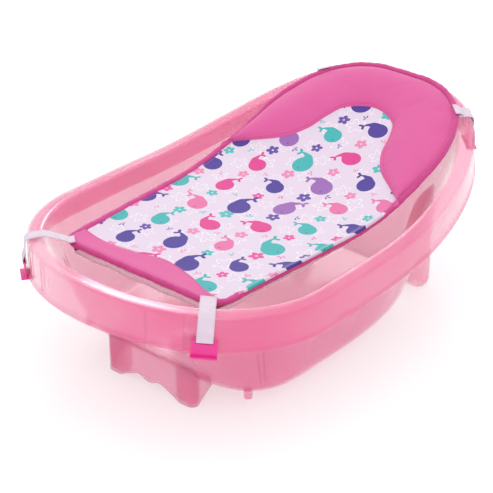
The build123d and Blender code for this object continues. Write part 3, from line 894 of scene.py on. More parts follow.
    def profile(self, angle: float) -> list[Vector]:
        """Line of the moulding's upper skin, from the drain out and over to the skirt's edge.

        Args:
            angle: Angle of the slice round the tub.

        Returns:
            Points of the line.
        """
        bottom = self.bowl_bottom + self.wall
        drain = np.array((self.drain, 0.0)) + self.drain_radius * np.array((math.cos(angle), math.sin(angle)))
        corner = self.bowl_wall(angle, bottom, self.wall)
        way_in = (drain - corner) / np.hypot(*(drain - corner))
        floor_edge = corner + way_in * self.corner * 0.8
        line = [(*(drain + (floor_edge - drain) * s), bottom) for s in self.floor_shares]
        wall_start = np.array((*self.bowl_wall(angle, bottom + self.corner, self.wall), bottom + self.corner))
        line += self.bend((*floor_edge, bottom), (*corner, bottom), wall_start, 6)
        crest_height = self.rim
        for _ in range(12):
            crest_height = self.rim_height(self.bowl_wall(angle, crest_height, self.wall)[0])
        top = crest_height - self.roll
        heights = np.linspace(bottom + self.corner, top, 12)[1:]
        line += [(*self.bowl_wall(angle, h, self.wall), h) for h in heights]
        shoulder = self.outline().point(angle)
        crest = self.bowl_wall(angle, crest_height, self.wall)
        out = self.outward(angle)
        across = shoulder - crest
        width = float(np.hypot(*across))
        across = across / max(width, 1e-6)
        start = crest + across * min(self.roll, 0.4 * width)
        end = shoulder - out * min(0.006, 0.4 * width)
        rim_at = self.rim_height
        line += self.bend(line[-1], (*crest, crest_height + 0.0006), (*start, rim_at(start[0])), 6)
        for s in (0.33, 0.66):
            middle = start + (end - start) * s
            line.append((*middle, rim_at(middle[0]) - self.shoulder_drop * 0.7 * s))
        x = shoulder[0]
        edge = rim_at(x)
        depth = self.skirt_depth(x)
        groove = self.groove_depth(angle)
        drop = self.shoulder_drop
        line.append((*end, edge - drop * 0.75))
        skirt_top = (*(shoulder + out * (0.0004 - groove)), edge - drop - self.roll)
        line += self.bend(line[-1], (*shoulder, edge - drop), skirt_top, 6)
        for share in (0.3, 0.5, 0.7, 0.82):
            line.append((*(shoulder + out * (0.0006 + 0.0008 * share - groove)), edge - depth * share))
        for level, reach in self.bead:
            line.append((*(shoulder + out * (reach - groove)), edge - depth + level))
        return [Vector(p) for p in line]

    @staticmethod
    def bend(start: Any, corner: Any, end: Any, steps: int) -> list[tuple[float, ...]]:
        """Points of a rounded corner after its start."""
        a, b, c = (np.array(p, float) for p in (start, corner, end))
        shares = [n / steps for n in range(1, steps + 1)]
        return [tuple((1 - s) ** 2 * a + 2 * s * (1 - s) * b + s * s * c) for s in shares]

    def shell(self) -> None:
        """Builds the bowl with its rim and skirt as one closed wall."""
        rows = [self.profile(a) for a in self.even_angles()]
        rows.append(rows[0])
        mesh = tidy_up_facing(grid_mesh(rows))
        piece = thicken(link_mesh("tub_moulding", mesh, TUB_PLASTIC), self.wall, -1)
        piece.data.set_sharp_from_angle(angle=math.radians(60))
        settle(piece, TUB_PLASTIC, "tub_shell")

    def wall_height_over(self, x: float, y: float) -> float:
        """Height at which the bowl's wall passes over a place outside its floor."""
        centre = np.array((self.drain if x < self.floor_widest else self.floor_widest, 0.0))
        polar, reach = math.atan2(y, x - centre[0]), math.hypot(x - centre[0], y)
        for height in np.arange(self.bowl_bottom, self.rim, 0.002):
            round_it = np.linspace(0, 2 * math.pi, 181)
            line = np.array([self.bowl_wall(a, height, self.wall / 2) for a in round_it])
            turns = np.unwrap(np.arctan2(line[:, 1], line[:, 0] - centre[0]))
            far = np.hypot(line[:, 0] - centre[0], line[:, 1])
            aim = polar + 2 * math.pi if polar < turns[0] else polar
            if float(np.interp(aim, turns, far)) > reach:
                return float(height)
        return self.rim - 0.02

    def prism(self, plan: Plan) -> Mesh:
        """Post whose top follows the bowl's wall and whose bottom edge is rounded.

        Args:
            plan: Closed outline from above, anticlockwise.

        Returns:
            A closed mesh.
        """
        middle = np.mean(np.array(plan), axis=0)
        rows = [[(*(np.array(p) + (middle - np.array(p)) * inset), lift) for p in plan]
                for inset, lift in self.foot_edge]
        rows.append([(*p, max(self.wall_height_over(*p), 0.05)) for p in plan])
        rows.append([(*middle, self.wall_height_over(*middle))] * len(plan))
        return tidy(grid_mesh([[Vector(p) for p in row] for row in rows], ring=True))

    @staticmethod
    def rounded_box_plan(x: float, y: float, length: float, width: float, corner: float) -> Plan:
        """Rounded rectangle from above, anticlockwise."""
        plan = []
        for n, (sx, sy) in enumerate(((1, 1), (-1, 1), (-1, -1), (1, -1))):
            for step in range(5):
                angle = math.pi / 2 * (n + step / 4)
                plan.append((x + sx * (length / 2 - corner) + corner * math.cos(angle),
                             y + sy * (width / 2 - corner) + corner * math.sin(angle)))
        return plan

    def posts(self) -> None:
        """The two feet of the foot end and the two legs of the head end."""
        for kind, x, y, length, width, corner in self.posts_at:
            for side, label in ((-1, "front"), (1, "back")):
                mesh = self.prism(self.rounded_box_plan(x, side * y, length, width, corner))
                settle(link_mesh(f"tub_{kind}_{label}", mesh, TUB_PLASTIC), TUB_PLASTIC)

    def support_wall(self) -> None:
        """Wall across the foot end with returns, its lower edge scalloped between the feet."""
        x_wall, half, back, corner = -0.2672, 0.0890, 0.052, 0.010
        path = [(x_wall + back, -half)]
        for step in range(7):
            angle = math.pi / 2 * step / 6
            path.append((x_wall + corner * (1 - math.sin(angle)), -half + corner * (1 - math.cos(angle))))
        path += [(x_wall, y) for y in np.linspace(-half + corner, half - corner, 61)[1:-1]]
        path += [(x, -y) for x, y in reversed(path[:8])]
        rows = []
        for x, y in path:
            low, high = self.support_edge(x - x_wall, y), self.wall_height_over(x, y)
            rows.append([Vector((x, y, low + (high - low) * s)) for s in np.linspace(0, 1, 8)])
        mesh = grid_mesh(rows)
        mesh.flip_normals()
        piece = thicken(link_mesh("tub_support_wall", mesh, TUB_PLASTIC), self.wall, 0)
        settle(piece, TUB_PLASTIC)

    @staticmethod
    def support_edge(behind: float, y: float) -> float:
        """Height of the support wall's lower edge.

        Args:
            behind: How far the place is behind the wall's face, along a return.
            y: How far it is to the side.

        Returns:
            The height: near the floor at the feet, wavy between them, rising along a return.
        """
        clear, arch, wave, crest_at, wave_length = 0.0008, 0.014, 0.0032, 0.022, 0.044
        foot_inner, blend, return_start, return_run, return_rise = 0.064, 0.026, 0.016, 0.036, 0.030
        low = arch + wave * math.cos(2 * math.pi * (abs(y) - crest_at) / wave_length)
        share = min(1.0, max(0.0, (foot_inner - abs(y)) / blend))
        rise = return_rise * max(0.0, (behind - return_start) / return_run) ** 1.5
        return clear + low * share * share * (3 - 2 * share) + rise

    def nubs(self) -> None:
        """Small round buttons under the bowl's corners."""
        turns = np.linspace(0, 2 * math.pi, 24, endpoint=False)
        x, y = self.button_at
        shape = bmesh.new()
        for side in (-1, 1):
            rows = [[Vector((x + radius * math.cos(a), side * y + radius * math.sin(a), height)) for a in turns]
                    for radius, height in self.button]
            shape.from_mesh(grid_mesh(rows, ring=True))
        joined = bpy.data.meshes.new("tub_nubs")
        shape.to_mesh(joined)
        shape.free()
        settle(link_mesh("tub_nubs", tidy(joined), TUB_PLASTIC), TUB_PLASTIC)

    def ribs(self) -> None:
        """Pairs of slim raised ribs that slant down both sides of the bowl."""
        for side, label in ((-1, "front"), (1, "back")):
            for n, start in enumerate(self.rib_starts):
                path = []
                for share in np.linspace(0, 1, 24):
                    height = self.rib_top + (self.rib_bottom - self.rib_top) * share
                    angle = math.radians(start + self.rib_slant * share)
                    x, y = self.bowl_wall(angle, height, 0.0)
                    path.append(Vector((x, side * y, height)))
                mesh = tube_mesh(path, lambda run, turn: self.rib_radius, 8, closed=False)
                settle(link_mesh(f"tub_rib_{label}_{n}", mesh, TUB_PLASTIC), TUB_PLASTIC)

    def build(self) -> None:
        """Builds every piece of the tub."""
        self.ribs()
        self.shell()
        self.posts()
        self.support_wall()
        self.nubs()


def tidy_up_facing(mesh: Mesh) -> Mesh:
    """Merges an open skin's doubles and turns its faces so that its floor faces up."""
    tidy(mesh)
    floor_spot = Vector((-0.1, 0.0, 0.041))
    floor_face = min(mesh.polygons, key=lambda f: sum(abs(v) for v in f.center - floor_spot))
    if floor_face.normal.z < 0:
        mesh.flip_normals()
    return mesh


# ---------------------------------------------------------------- sling


@dataclass
class Sling:
    """Newborn sling: wire hoop in a sewn sleeve, printed seat, net, foot panel and bolster.

    The sizes are in metres. corners and radii give one side of the hoop from foot to head.
    panel_wave is the foot panel's reach across its width, from the far side at 1 to the
    near one at -1. bell is half of the bolster's inner edge: places along the sling, and
    shares of its half width.
    """

    corners: Plan = ((-0.282, 0.155), (0.090, 0.176), (0.262, 0.176), (0.352, 0.134), (0.385, 0.062))
    radii: tuple[float, ...] = (0.028, 0.600, 0.200, 0.130, 0.140)
    foot_height: float = 0.212
    knee_height: float = 0.207
    top_height: float = 0.314
    knee_radius: float = 0.6
    sleeve: float = 0.0052
    sag: float = 0.006
    wrap: float = 0.0046
    seat_inset: float = 0.002
    net_inset: float = 0.0015
    net_start: float = 0.002
    net_drop: float = 0.0145
    net_foot_drop: float = 0.007
    net_end: float = 0.250
    panel_half: float = 0.153
    panel_edge: float = -0.2815
    stations: int = 97
    pad_edge: float = 0.0012
    pad_crown: float = 0.0110
    pad_under: float = 0.0006
    pad_tuck: float = 0.0035
    pad_cap: float = 0.005
    panel_wave: Plan = ((1.0, 0.049), (0.6, 0.037), (0.3, 0.045), (0.0, 0.060),
                        (-0.35, 0.045), (-0.63, 0.023), (-1.0, 0.008))
    bell: Plan = ((0.118, 1.05), (0.150, 0.8), (0.180, 0.57), (0.215, 0.43),
                  (0.250, 0.37), (0.280, 0.28), (0.299, 0.0))
    outline: list[tuple[float, float]] = field(default_factory=list)

    def __post_init__(self) -> None:
        """Rounds the corners of the hoop."""
        ring = list(self.corners) + [(x, -y) for x, y in reversed(self.corners)]
        radii = list(self.radii) + list(reversed(self.radii))
        count = len(ring)
        for n in range(count):
            here = np.array(ring[n])
            into = np.array(ring[n - 1]) - here
            out = np.array(ring[(n + 1) % count]) - here
            into, out = into / np.hypot(*into), out / np.hypot(*out)
            half = math.acos(float(np.clip(into @ out, -1, 1))) / 2
            cut = radii[n] / math.tan(half)
            middle = here + (into + out) / np.hypot(*(into + out)) * radii[n] / math.sin(half)
            a, b = here + into * cut - middle, here + out * cut - middle
            turn = math.atan2(a[0] * b[1] - a[1] * b[0], a @ b)
            steps = max(2, int(abs(turn) * radii[n] / 0.006))
            start = math.atan2(a[1], a[0])
            for step in range(steps + 1):
                angle = start + turn * step / steps
                self.outline.append((middle[0] + radii[n] * math.cos(angle),
                                     middle[1] + radii[n] * math.sin(angle)))

    @property
    def foot(self) -> float:
        """Place of the foot edge along the sling."""
        return self.corners[0][0]

    @property
    def head(self) -> float:
        """Place of the head edge along the sling."""
        return self.corners[-1][0]

    @property
    def half_width(self) -> float:
        """Half of the hoop's widest place."""
        return self.corners[1][1]

    def height(self, x: float) -> float:
        """Height of the sling's side line, rounded at the knee."""
        knee_x = self.corners[1][0]
        flat = (self.knee_height - self.foot_height) / (knee_x - self.foot)
        steep = (self.top_height - self.knee_height) / (self.head - knee_x)
        reach = self.knee_radius * math.tan((math.atan(steep) - math.atan(flat)) / 2)
        if x < knee_x - reach:
            return self.knee_height + flat * (x - knee_x)
        if x > knee_x + reach:
            return self.knee_height + steep * (x - knee_x)
        share = (x - knee_x + reach) / (2 * reach)
        low, high = self.knee_height - flat * reach, self.knee_height + steep * reach
        return (1 - share) ** 2 * low + 2 * share * (1 - share) * self.knee_height + share**2 * high

    def hoop(self, step: float = 0.004) -> list[Vector]:
        """Centre line of the wire, evenly stepped and closed."""
        points = np.array([*self.outline, self.outline[0]])
        run = np.concatenate([[0], np.cumsum(np.hypot(*np.diff(points, axis=0).T))])
        wanted = np.linspace(0, run[-1], int(run[-1] / step), endpoint=False)
        xs, ys = np.interp(wanted, run, points[:, 0]), np.interp(wanted, run, points[:, 1])
        return [Vector((x, y, self.height(x))) for x, y in zip(xs, ys)]

    def half_at(self, x: float, inset: float) -> float:
        """Half of the seat's width at a place along it, drawn in from the wire."""
        points = np.array([p for p in self.outline if p[1] >= 0])
        order = np.argsort(points[:, 0])
        first, last = points[:, 0].min(), points[:, 0].max()
        mapped = first + (x - first - inset) / (last - first - 2 * inset) * (last - first)
        return float(np.interp(mapped, points[order, 0], points[order, 1])) - inset

    def place(self, x: float, y: float, lift: float) -> Vector:
        """Point over the seat cloth, which sags a little between the sleeves."""
        half = max(self.half_at(x, 0.0), 0.02)
        run_in = 0.06
        ends = min(1.0, (x - self.foot) / run_in, (self.head - x) / run_in)
        dip = self.sag * max(0.0, 1 - (y / half) ** 2) * max(0.0, ends)
        ripple = 0.0006 * math.sin(31 * x + 17 * y) * math.sin(23 * y - 9 * x)
        slope = (self.height(x + 0.002) - self.height(x - 0.002)) / 0.004
        away = 1 / math.hypot(1, slope)
        return Vector((x - slope * lift * away, y, self.height(x) - dip + ripple + lift * away))

    def run(self, x: float) -> float:
        """Length of the cloth from the foot edge to a place along it."""
        xs = np.linspace(self.foot, x, 80)
        return float(np.sum(np.hypot(np.diff(xs), np.diff([self.height(v) for v in xs]))))

    def patch(self, xs: Sequence[float], edges: Callable[[float], tuple[float, float]],
              lift: Callable[[float, float], float], columns: int) -> Mesh:
        """Sheet over the seat between two edges.

        Args:
            xs: Places along the sling.
            edges: Lower and upper y at a place.
            lift: Height over the cloth for x and y.
            columns: Points across.

        Returns:
            The mesh with its cut.
        """
        rows, cut, crowding = [], [], 0.25
        even = np.linspace(0, 1, columns)
        shares = crowding * (0.5 - 0.5 * np.cos(math.pi * even)) + (1 - crowding) * even
        for x in xs:
            low, high = edges(x)
            ys = [float(low + (high - low) * share) for share in shares]
            line = [self.place(x, y, lift(x, y)) for y in ys]
            along = np.cumsum([0.0] + [(b - a).length for a, b in zip(line, line[1:])])
            middle = float(np.interp(0.0, ys, along))
            rows.append(line)
            cut.append([(self.run(x), float(a) - middle) for a in along])
        return grid_mesh(rows, cut=cut)

    def wrap_share(self, x: float) -> float:
        """How far the print rolls over the near sleeve: fully along the seat, not at its ends."""
        start, end, fade = -0.262, 0.112, 0.03
        return min(1.0, max(0.0, (end - x) / fade), max(0.0, (x - start) / fade))

    def seat_lift(self, x: float, y: float) -> float:
        """Height of the seat cloth over its own surface where it climbs over the near sleeve."""
        near, over, apron = self.half_at(x, 0.0) + y, self.sleeve * 1.12, 0.014
        if near < 0:
            return self.wrap_share(x) * math.sqrt(max(0.0, over**2 - near**2))
        return self.wrap_share(x) * over * max(0.0, 1 - near / apron) ** 2

    def seat_edges(self, x: float) -> tuple[float, float]:
        """Near and far edge of the seat cloth at a place along it."""
        half = self.half_at(x, self.seat_inset)
        return -half - (self.seat_inset + self.wrap) * self.wrap_share(x), half

    def build_seat(self) -> None:
        """Printed cloth stretched between the sleeves."""
        low, high = self.foot + self.seat_inset, self.head - self.seat_inset
        ends = [0, 0.0008, 0.002, 0.004, 0.007, 0.011, 0.016, 0.022, 0.028]
        between = np.linspace(low + 0.034, high - 0.034, 110)
        xs = [low + e for e in ends] + list(between) + [high - e for e in reversed(ends)]
        mesh = self.patch(xs, self.seat_edges, self.seat_lift, 81)
        piece = thicken(link_mesh("seat_cloth", mesh, SEAT_PRINT), CLOTH_WALL, -1)
        settle(piece, SEAT_PRINT, "sling_fabric")

    def sleeve_radius(self, length: float, angle: float) -> float:
        """Radius of the sleeve, which its seam puckers a little."""
        pucker = 0.00025 * math.sin(length * 420) + 0.0003 * math.sin(length * 137 + 2 * angle)
        return self.sleeve * (1 + 0.06 * math.cos(2 * angle)) + pucker

    def build_sleeve(self) -> None:
        """Sewn sleeve round the wire."""
        mesh = tube_mesh(self.hoop(), self.sleeve_radius, 16, closed=True)
        settle(link_mesh("edge_sleeve", mesh, BINDING_TAPE, 80), BINDING_TAPE, "edge_binding")

    def net_edges(self, x: float) -> tuple[float, float]:
        """Near and far edge of the net at a place along it."""
        half = self.half_at(x, self.net_inset)
        return -half, half

    def net_lift(self, x: float, y: float) -> float:
        """Depth of the net's tray under the seat, as a height below zero."""
        brink, foot_run = 0.009, 0.1
        edge = min(self.half_at(x, 0.0) - abs(y), x - self.foot + 0.0005)
        share = min(1.0, max(0.0, edge / brink))
        drop = self.net_drop + self.net_foot_drop * max(0.0, 1 - (x - self.foot) / foot_run)
        ripple = 0.0012 * math.sin(90 * y + 25 * x)
        return -self.net_start - drop * math.sin(math.pi / 2 * share) - ripple

    def build_net(self) -> None:
        """Net that hangs under the seat as a shallow tray and ends below the head."""
        xs = [-0.2815, -0.2805, -0.279, *np.linspace(-0.276, self.net_end, 90)]
        mesh = self.patch(xs, self.net_edges, self.net_lift, 71)
        piece = thicken(link_mesh("net_underlay", mesh, NET), NET_WALL, -1)
        settle(piece, NET, "sling_underlay")

    def wave_at(self, share: float) -> float:
        """Reach of the foot panel from the foot edge, smooth through its wave."""
        nodes = sorted(self.panel_wave)
        return smooth_through([n[0] for n in nodes], [n[1] for n in nodes], share)

    def build_foot_panel(self) -> None:
        """Pink panel over the foot edge, its inner edge a wave."""
        rows, cut = [], []
        corner_radius = self.radii[0]
        corner_from = self.panel_half + 0.002 - corner_radius
        for y in np.linspace(-self.panel_half, self.panel_half, 91):
            reach = max(0.004, self.wave_at(y / self.half_width))
            corner = max(0.0, abs(y) - corner_from)
            start = self.panel_edge + corner_radius - math.sqrt(max(0.0, corner_radius**2 - corner**2))
            end = max(self.foot + reach, start + 0.001)
            line, flat = [], []
            for s in np.linspace(0, 1, 17):
                x = start + (end - start) * s
                lift = 0.0014 + 0.0022 * (1 - (2 * s - 1) ** 6) + 0.0022 * (1 - s) ** 4
                line.append(self.place(x, y, lift))
                flat.append((x - start, y))
            rows.append(line)
            cut.append(flat)
        mesh = grid_mesh(rows, cut=cut)
        mesh.flip_normals()
        piece = thicken(link_mesh("foot_panel_cloth", mesh, PINK_CLOTH), CLOTH_WALL, 1)
        settle(piece, PINK_CLOTH, "foot_panel")
        seam = [row[-2] + Vector((0, 0, CLOTH_WALL)) for row in rows[2:-2]]
        stitches("foot_panel_stitches", [seam], THREAD)

    def bell_edge(self, count: int) -> list[tuple[float, float]]:
        """Inner edge of the bolster from one side, round the head, to the other."""
        side = [(x, share * self.half_width) for x, share in self.bell]
        ring = side + [(x, -y) for x, y in reversed(side[:-1])]
        keys = np.concatenate([[0], np.cumsum([math.dist(a, b) for a, b in zip(ring, ring[1:])])])
        return [smooth_point(list(keys), ring, w) for w in np.linspace(0, keys[-1], count)]

    def pad_outer_edge(self) -> Plan:
        """Outer edge of the bolster: the hoop's line round the head, evenly stepped."""
        start, turn_about = 0.10, 0.18
        line = [p for p in self.hoop(0.003) if p.x > start]
        line.sort(key=lambda p: -math.atan2(p.y, p.x - turn_about))
        keys = np.concatenate([[0], np.cumsum([(b - a).length for a, b in zip(line, line[1:])])])
        wanted = np.linspace(0, keys[-1], self.stations)
        xs, ys = [p.x for p in line], [p.y for p in line]
        return list(zip(np.interp(wanted, keys, xs), np.interp(wanted, keys, ys)))

    def build_bolster(self) -> None:
        """Padded bolster round the head, swollen by cloth simulation."""
        taper, flattest, seam_length, puckers = 8, 0.35, 0.42, 460
        runs = np.linspace(0, seam_length, self.stations)
        top_rows, low_rows = [], []
        for n, ((ix, iy), (ox, oy)) in enumerate(zip(self.bell_edge(self.stations), self.pad_outer_edge())):
            end = min(1.0, n / taper, (self.stations - 1 - n) / taper)
            tuck = 1 - self.pad_tuck / max(0.01, math.hypot(ox - ix, oy - iy))
            top, low = [], []
            for s in np.linspace(0, 1, 21):
                x, y = ix + (ox - ix) * s * tuck, iy + (oy - iy) * s * tuck
                swell = (1 - (2 * s - 1) ** 4) * (flattest + (1 - flattest) * end)
                pucker = 0.0006 * math.sin(runs[n] * puckers) * math.exp(-9 * s) * min(1.0, 12 * s)
                top.append(self.place(x, y, self.pad_edge + self.pad_crown * swell + pucker))
                low.append(self.place(x, y, self.pad_under))
            top_rows.append(top)
            low_rows.append(low)
        rows = [top + list(reversed(low)) for top, low in zip(top_rows, low_rows)]
        caps = [[Vector(np.mean(np.array(row), axis=0))] * len(row) for row in (rows[0], rows[-1])]
        mesh = tidy(grid_mesh([caps[0], *rows, caps[1]], ring=True), 0.0001)
        piece = link_mesh("head_bolster_pad", mesh, PINK_CLOTH, 80)
        piece = self.swell(piece, self.pad_cap)
        give_flat_cut(piece.data)
        settle(piece, PINK_CLOTH, "head_bolster")
        seam = [row[1] + Vector((0, 0, 0.0014)) for row in top_rows[5:-5]]
        stitches("bolster_stitches", [seam], THREAD)

    def swell(self, piece: Piece, cap: float) -> Piece:
        """Blows up a pad with cloth pressure while its underside and seams stay sewn down.

        Args:
            piece: Closed pad.
            cap: Furthest that a point may move, in metres.

        Returns:
            The pad as a plain mesh.
        """
        pressure, frames, held_below = 4.0, 20, 0.003
        before = np.array([v.co[:] for v in piece.data.vertices])
        sewn = piece.vertex_groups.new(name="sewn")
        flat = [n for n, (x, y, z) in enumerate(before) if z - self.place(x, y, 0.0).z < held_below]
        sewn.add(flat, 1.0, "REPLACE")
        cloth = piece.modifiers.new("filling", "CLOTH")
        cloth.settings.use_pressure = True
        cloth.settings.uniform_pressure_force = pressure
        cloth.settings.vertex_group_mass = sewn.name
        cloth.settings.effector_weights.gravity = 0.0
        scene = bpy.context.scene
        for frame in range(1, frames + 1):
            scene.frame_set(frame)
        bake(piece)
        scene.frame_set(1)
        after = np.array([v.co[:] for v in piece.data.vertices])
        move = after - before
        size = np.linalg.norm(move, axis=1, keepdims=True)
        move *= np.minimum(1.0, cap / np.maximum(size, 1e-9))
        placed = before + move
        piece.data.vertices.foreach_set("co", placed.ravel())
        piece.data.update()
        fine = piece.modifiers.new("smooth", "SUBSURF")
        fine.levels = fine.render_levels = 1
        bake(piece)
        return piece

    def build_seam(self) -> None:
        """Row of stitches that closes the sleeve on the seat."""
        seam, middle, inset = [], 0.05, 0.0086
        for p in self.hoop():
            inward = Vector((middle - p.x, -p.y, 0)).normalized() * inset
            x, y = p.x + inward.x, p.y + inward.y
            seam.append(self.place(x, y, 0.0009 + self.seat_lift(x, y)))
        stitches("sleeve_stitches", [[*seam, seam[0]]], THREAD)

    def build(self) -> None:
        """Builds every layer of the sling."""
        self.build_sleeve()
        self.build_seat()
        self.build_net()
        self.build_foot_panel()
        self.build_bolster()
        self.build_seam()


def slope_at(keys: Sequence[float], values: Sequence[float], k: int) -> float:
    """Slope of a smooth curve at one of its points."""
    low, high = max(0, k - 1), min(len(keys) - 1, k + 1)
    return (values[high] - values[low]) / (keys[high] - keys[low])


def smooth_through(keys: Sequence[float], values: Sequence[float], at: float) -> float:
    """Value of a smooth curve through points, by Catmull and Rom's rule."""
    n = int(np.clip(np.searchsorted(keys, at) - 1, 0, len(keys) - 2))
    span = keys[n + 1] - keys[n]
    share = min(1.0, max(0.0, (at - keys[n]) / span))
    a, b = values[n], values[n + 1]
    c, d = slope_at(keys, values, n) * span, slope_at(keys, values, n + 1) * span
    return ((2 * share**3 - 3 * share**2 + 1) * a + (share**3 - 2 * share**2 + share) * c
            + (-2 * share**3 + 3 * share**2) * b + (share**3 - share**2) * d)


def smooth_point(keys: Sequence[float], points: Plan, at: float) -> tuple[float, float]:
    """Point of a smooth line through points in a plane."""
    return smooth_through(keys, [p[0] for p in points], at), smooth_through(keys, [p[1] for p in points], at)


def give_flat_cut(mesh: Mesh) -> None:
    """Gives a pad the cut map seen from above, so that its threads run straight."""
    layer = mesh.uv_layers.get(CUT_MAP) or mesh.uv_layers.new(name=CUT_MAP)
    for loop in mesh.loops:
        place = mesh.vertices[loop.vertex_index].co
        layer.data[loop.index].uv = (place.x, place.y)


# ---------------------------------------------------------------- straps and clips


@dataclass
class Strap:
    """Webbing strap from the sling's sleeve over the rim to a clip's bar.

    Attributes:
        name: Corner that it serves.
        angle: Place on the rim's outline, in degrees.
        side: -1 for the near side, 1 for the far one.
    """

    name: str
    angle: float
    side: int
    tub: Tub
    sling: Sling
    width: float = 0.024
    thickness: float = 0.0014
    bar_out: float = 0.00625
    bar_lift: float = 0.022
    loop_radius: float = 0.0026

    def build(self) -> None:
        """Builds the webbing, its loop and its stitches."""
        angle = math.radians(self.angle)
        x, y = self.tub.outline().point(angle)
        way_out = self.tub.outward(angle)
        origin = Vector((x, self.side * y, self.tub.rim_height(x)))
        out = Vector((way_out[0], self.side * way_out[1], 0.0)).normalized()
        slope = (self.tub.rim_height(x + 0.001) - self.tub.rim_height(x - 0.001)) / 0.002
        along = Vector((out.y, -out.x, slope * out.y)).normalized()
        up = along.cross(out).normalized()
        if up.z < 0:
            up = -up
        near = min(self.sling.hoop(), key=lambda p: (p - origin).length)
        start = near - origin
        sx, sz = start.dot(out), start.dot(up)
        down = self.bar_lift - self.tub.skirt_depth(x)
        lift, ring, step = 0.0018, self.loop_radius, 0.0015
        # Each knot is a way out from the rim's edge and a height over it: sleeve, rim, skirt, bar, loop.
        knots = [(sx - 0.004, sz + 0.0072), (sx + 0.004, sz + 0.0062), (sx + 0.009, sz * 0.7 + 0.003),
                 (-0.026, lift + 0.0004), (-0.018, lift), (-0.008, lift - 0.0010), (-0.0025, 0.0),
                 (0.0016, -0.0030), (0.0032, -0.0085), (0.0048, (down - 0.0085) / 2),
                 (self.bar_out + ring, down + 0.003), (self.bar_out + ring, down)]
        turns = np.linspace(0.5, 3.1, 6)
        knots += [(self.bar_out + ring * math.cos(a), down - ring * math.sin(a)) for a in turns]
        knots += [(self.bar_out - ring * 0.8, down + 0.003), (0.0042, down + 0.012)]
        line = smooth_line(knots, step)
        rows, cut, run = [], [], 0.0
        for n, (a, b) in enumerate(line):
            middle = origin + out * a + up * b
            run += math.dist(line[n - 1], (a, b)) if n else 0.0
            offsets = np.linspace(-0.5, 0.5, 9) * self.width
            rows.append([middle + along * w for w in offsets])
            cut.append([(run, w) for w in offsets])
        mesh = grid_mesh(rows, cut=cut)
        piece = thicken(link_mesh(f"strap_web_{self.name}", mesh, WEBBING, 60), self.thickness * 0.8, 0)
        settle(piece, WEBBING, f"strap_{self.name}")
        crossed = []
        for place in (0.010, 0.014):
            a, b = line[max(1, int(len(line) - 12 - place / step))]
            base = origin + out * (a + 0.0009) + up * b
            crossed.append([base + along * w for w in np.linspace(-0.42, 0.42, 9) * self.width])
        stitches(f"strap_stitches_{self.name}", crossed, PALE_THREAD, 0.0028)


def smooth_line(knots: Plan, step: float) -> list[tuple[float, float]]:
    """Evenly stepped smooth line through knots in a plane."""
    keys = [0.0]
    for a, b in zip(knots, knots[1:]):
        keys.append(keys[-1] + max(math.dist(a, b), 1e-5))
    return [smooth_point(keys, knots, w) for w in np.linspace(0, keys[-1], int(keys[-1] / step))]


def softened_copy(node: str, name: str, finish: Finish, body: str, nodes: dict[str, Piece],
                  round_by: float) -> Piece:
    """Copy of a CAD node with its edges rounded, which stands for it.

    Args:
        node: CAD node.
        name: Name of the copy.
        finish: What it is made of.
        body: CAD body that it rides on.
        nodes: The frame's nodes.
        round_by: Radius of the edges, in metres.

    Returns:
        The copy.
    """
    mesh = nodes[node].data.copy()
    shape = bmesh.new()
    shape.from_mesh(mesh)
    bmesh.ops.remove_doubles(shape, verts=shape.verts, dist=0.00001)
    bmesh.ops.dissolve_limit(shape, angle_limit=math.radians(1.0), verts=shape.verts, edges=shape.edges)
    bmesh.ops.recalc_face_normals(shape, faces=shape.faces)
    shape.to_mesh(mesh)
    shape.free()
    piece = link_mesh(name, mesh, finish, 40)
    rounding = piece.modifiers.new("rounding", "BEVEL")
    rounding.width = round_by
    rounding.segments = 2
    rounding.limit_method = "ANGLE"
    rounding.angle_limit = math.radians(35)
    bake(piece)
    return settle(piece, finish, node, body=body)


# ---------------------------------------------------------------- studio


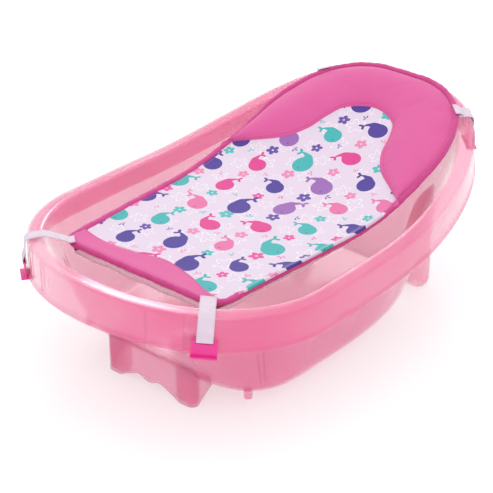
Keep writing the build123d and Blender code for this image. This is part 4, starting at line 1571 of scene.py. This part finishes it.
@dataclass
class Studio:
    """Pale floor, soft light and the camera.

    Attributes:
        camera_at: Place of the camera.
        aim: Place that it looks at.
        lens: Focal length, in millimetres.
        shift: Shift of the frame, as shares of it.
        lights: Name, place, side and power of each square light.
    """

    camera_at: Point = (-1.7834, -1.4913, 1.4044)
    aim: Point = (0.0, 0.0, 0.120)
    lens: float = 120.2
    shift: tuple[float, float] = (-0.0300, 0.0185)
    lights: tuple[tuple[str, Point, float, float], ...] = (
        ("top_softbox", (0.3, 0.2, 2.8), 2.4, 12.0),
        ("near_window", (-1.6, -2.0, 2.2), 0.6, 10.0),
        ("far_window", (1.9, 1.6, 1.5), 0.8, 11.0),
    )

    def build(self) -> None:
        """Builds the floor, the lights, the world and the camera."""
        self.floor()
        for name, place, size, power in self.lights:
            self.light(name, place, size, power)
        world = bpy.data.worlds.new("studio")
        bpy.context.scene.world = world
        world.use_nodes = True
        world.node_tree.nodes.clear()
        glow = add_node(world.node_tree, "ShaderNodeBackground", (1, 1, 1, 1), 1.0)
        add_node(world.node_tree, "ShaderNodeOutputWorld", glow)
        data = bpy.data.cameras.new("camera")
        data.lens = self.lens
        data.shift_x, data.shift_y = self.shift
        camera = bpy.data.objects.new("camera", data)
        bpy.context.scene.collection.objects.link(camera)
        camera.location = self.camera_at
        towards = Vector(self.aim) - Vector(self.camera_at)
        camera.rotation_euler = towards.to_track_quat("-Z", "Y").to_euler()
        bpy.context.scene.camera = camera
        bpy.context.scene.view_settings.view_transform = "Standard"

    def floor(self) -> None:
        """White light table that reaches past the view and lifts the tub's underside."""
        mesh = bpy.data.meshes.new("floor")
        size = 6.0
        corners = [(-size, -size, 0), (size, -size, 0), (size, size, 0), (-size, size, 0)]
        mesh.from_pydata(corners, [], [(0, 1, 2, 3)])
        piece = bpy.data.objects.new("floor", mesh)
        bpy.context.scene.collection.objects.link(piece)
        paper = bpy.data.materials.new("white_paper_floor")
        paper.use_nodes = True
        paper.node_tree.nodes.clear()
        shader = add_node(paper.node_tree, "ShaderNodeBsdfPrincipled", named={
            "Base Color": linear("#c4c4c4"), "Roughness": 0.9, "Specular IOR Level": 0.1,
            "Emission Color": linear("#ffffff"), "Emission Strength": 0.5})
        add_node(paper.node_tree, "ShaderNodeOutputMaterial", shader)
        mesh.materials.append(paper)

    def light(self, name: str, place: Point, size: float, power: float) -> None:
        """Adds a soft square light that looks at the tub."""
        data = bpy.data.lights.new(name, "AREA")
        data.size = size
        data.energy = power
        lamp = bpy.data.objects.new(name, data)
        bpy.context.scene.collection.objects.link(lamp)
        lamp.location = place
        lamp.rotation_euler = (Vector((0, 0, 0.15)) - Vector(place)).to_track_quat("-Z", "Y").to_euler()


def main() -> None:
    """Builds the bathtub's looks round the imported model."""
    logging.basicConfig(level=logging.INFO, format="%(name)s: %(message)s")
    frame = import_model()
    nodes = frame["nodes"]
    tub, sling = Tub(), Sling()
    tub.build()
    sling.build()
    clip_edge, plug_edge = 0.0006, 0.0005
    for corner, angle, side in STRAP_SPOTS:
        Strap(corner, angle, side, tub, sling).build()
        softened_copy(f"clip_{corner}", f"clip_hook_{corner}", CLIP_PLASTIC, f"clip_{corner}", nodes, clip_edge)
    softened_copy("drain_plug", "drain_plug_rubber", PLUG_RUBBER, "drain_plug", nodes, plug_edge)
    for node, finish in (("sling_frame", WIRE_COAT), ("frame_joiner", FERRULE_STEEL)):
        nodes[node].data.materials.clear()
        nodes[node].data.materials.append(finish.material())
    Studio().build()


if __name__ == "__main__":
    main()
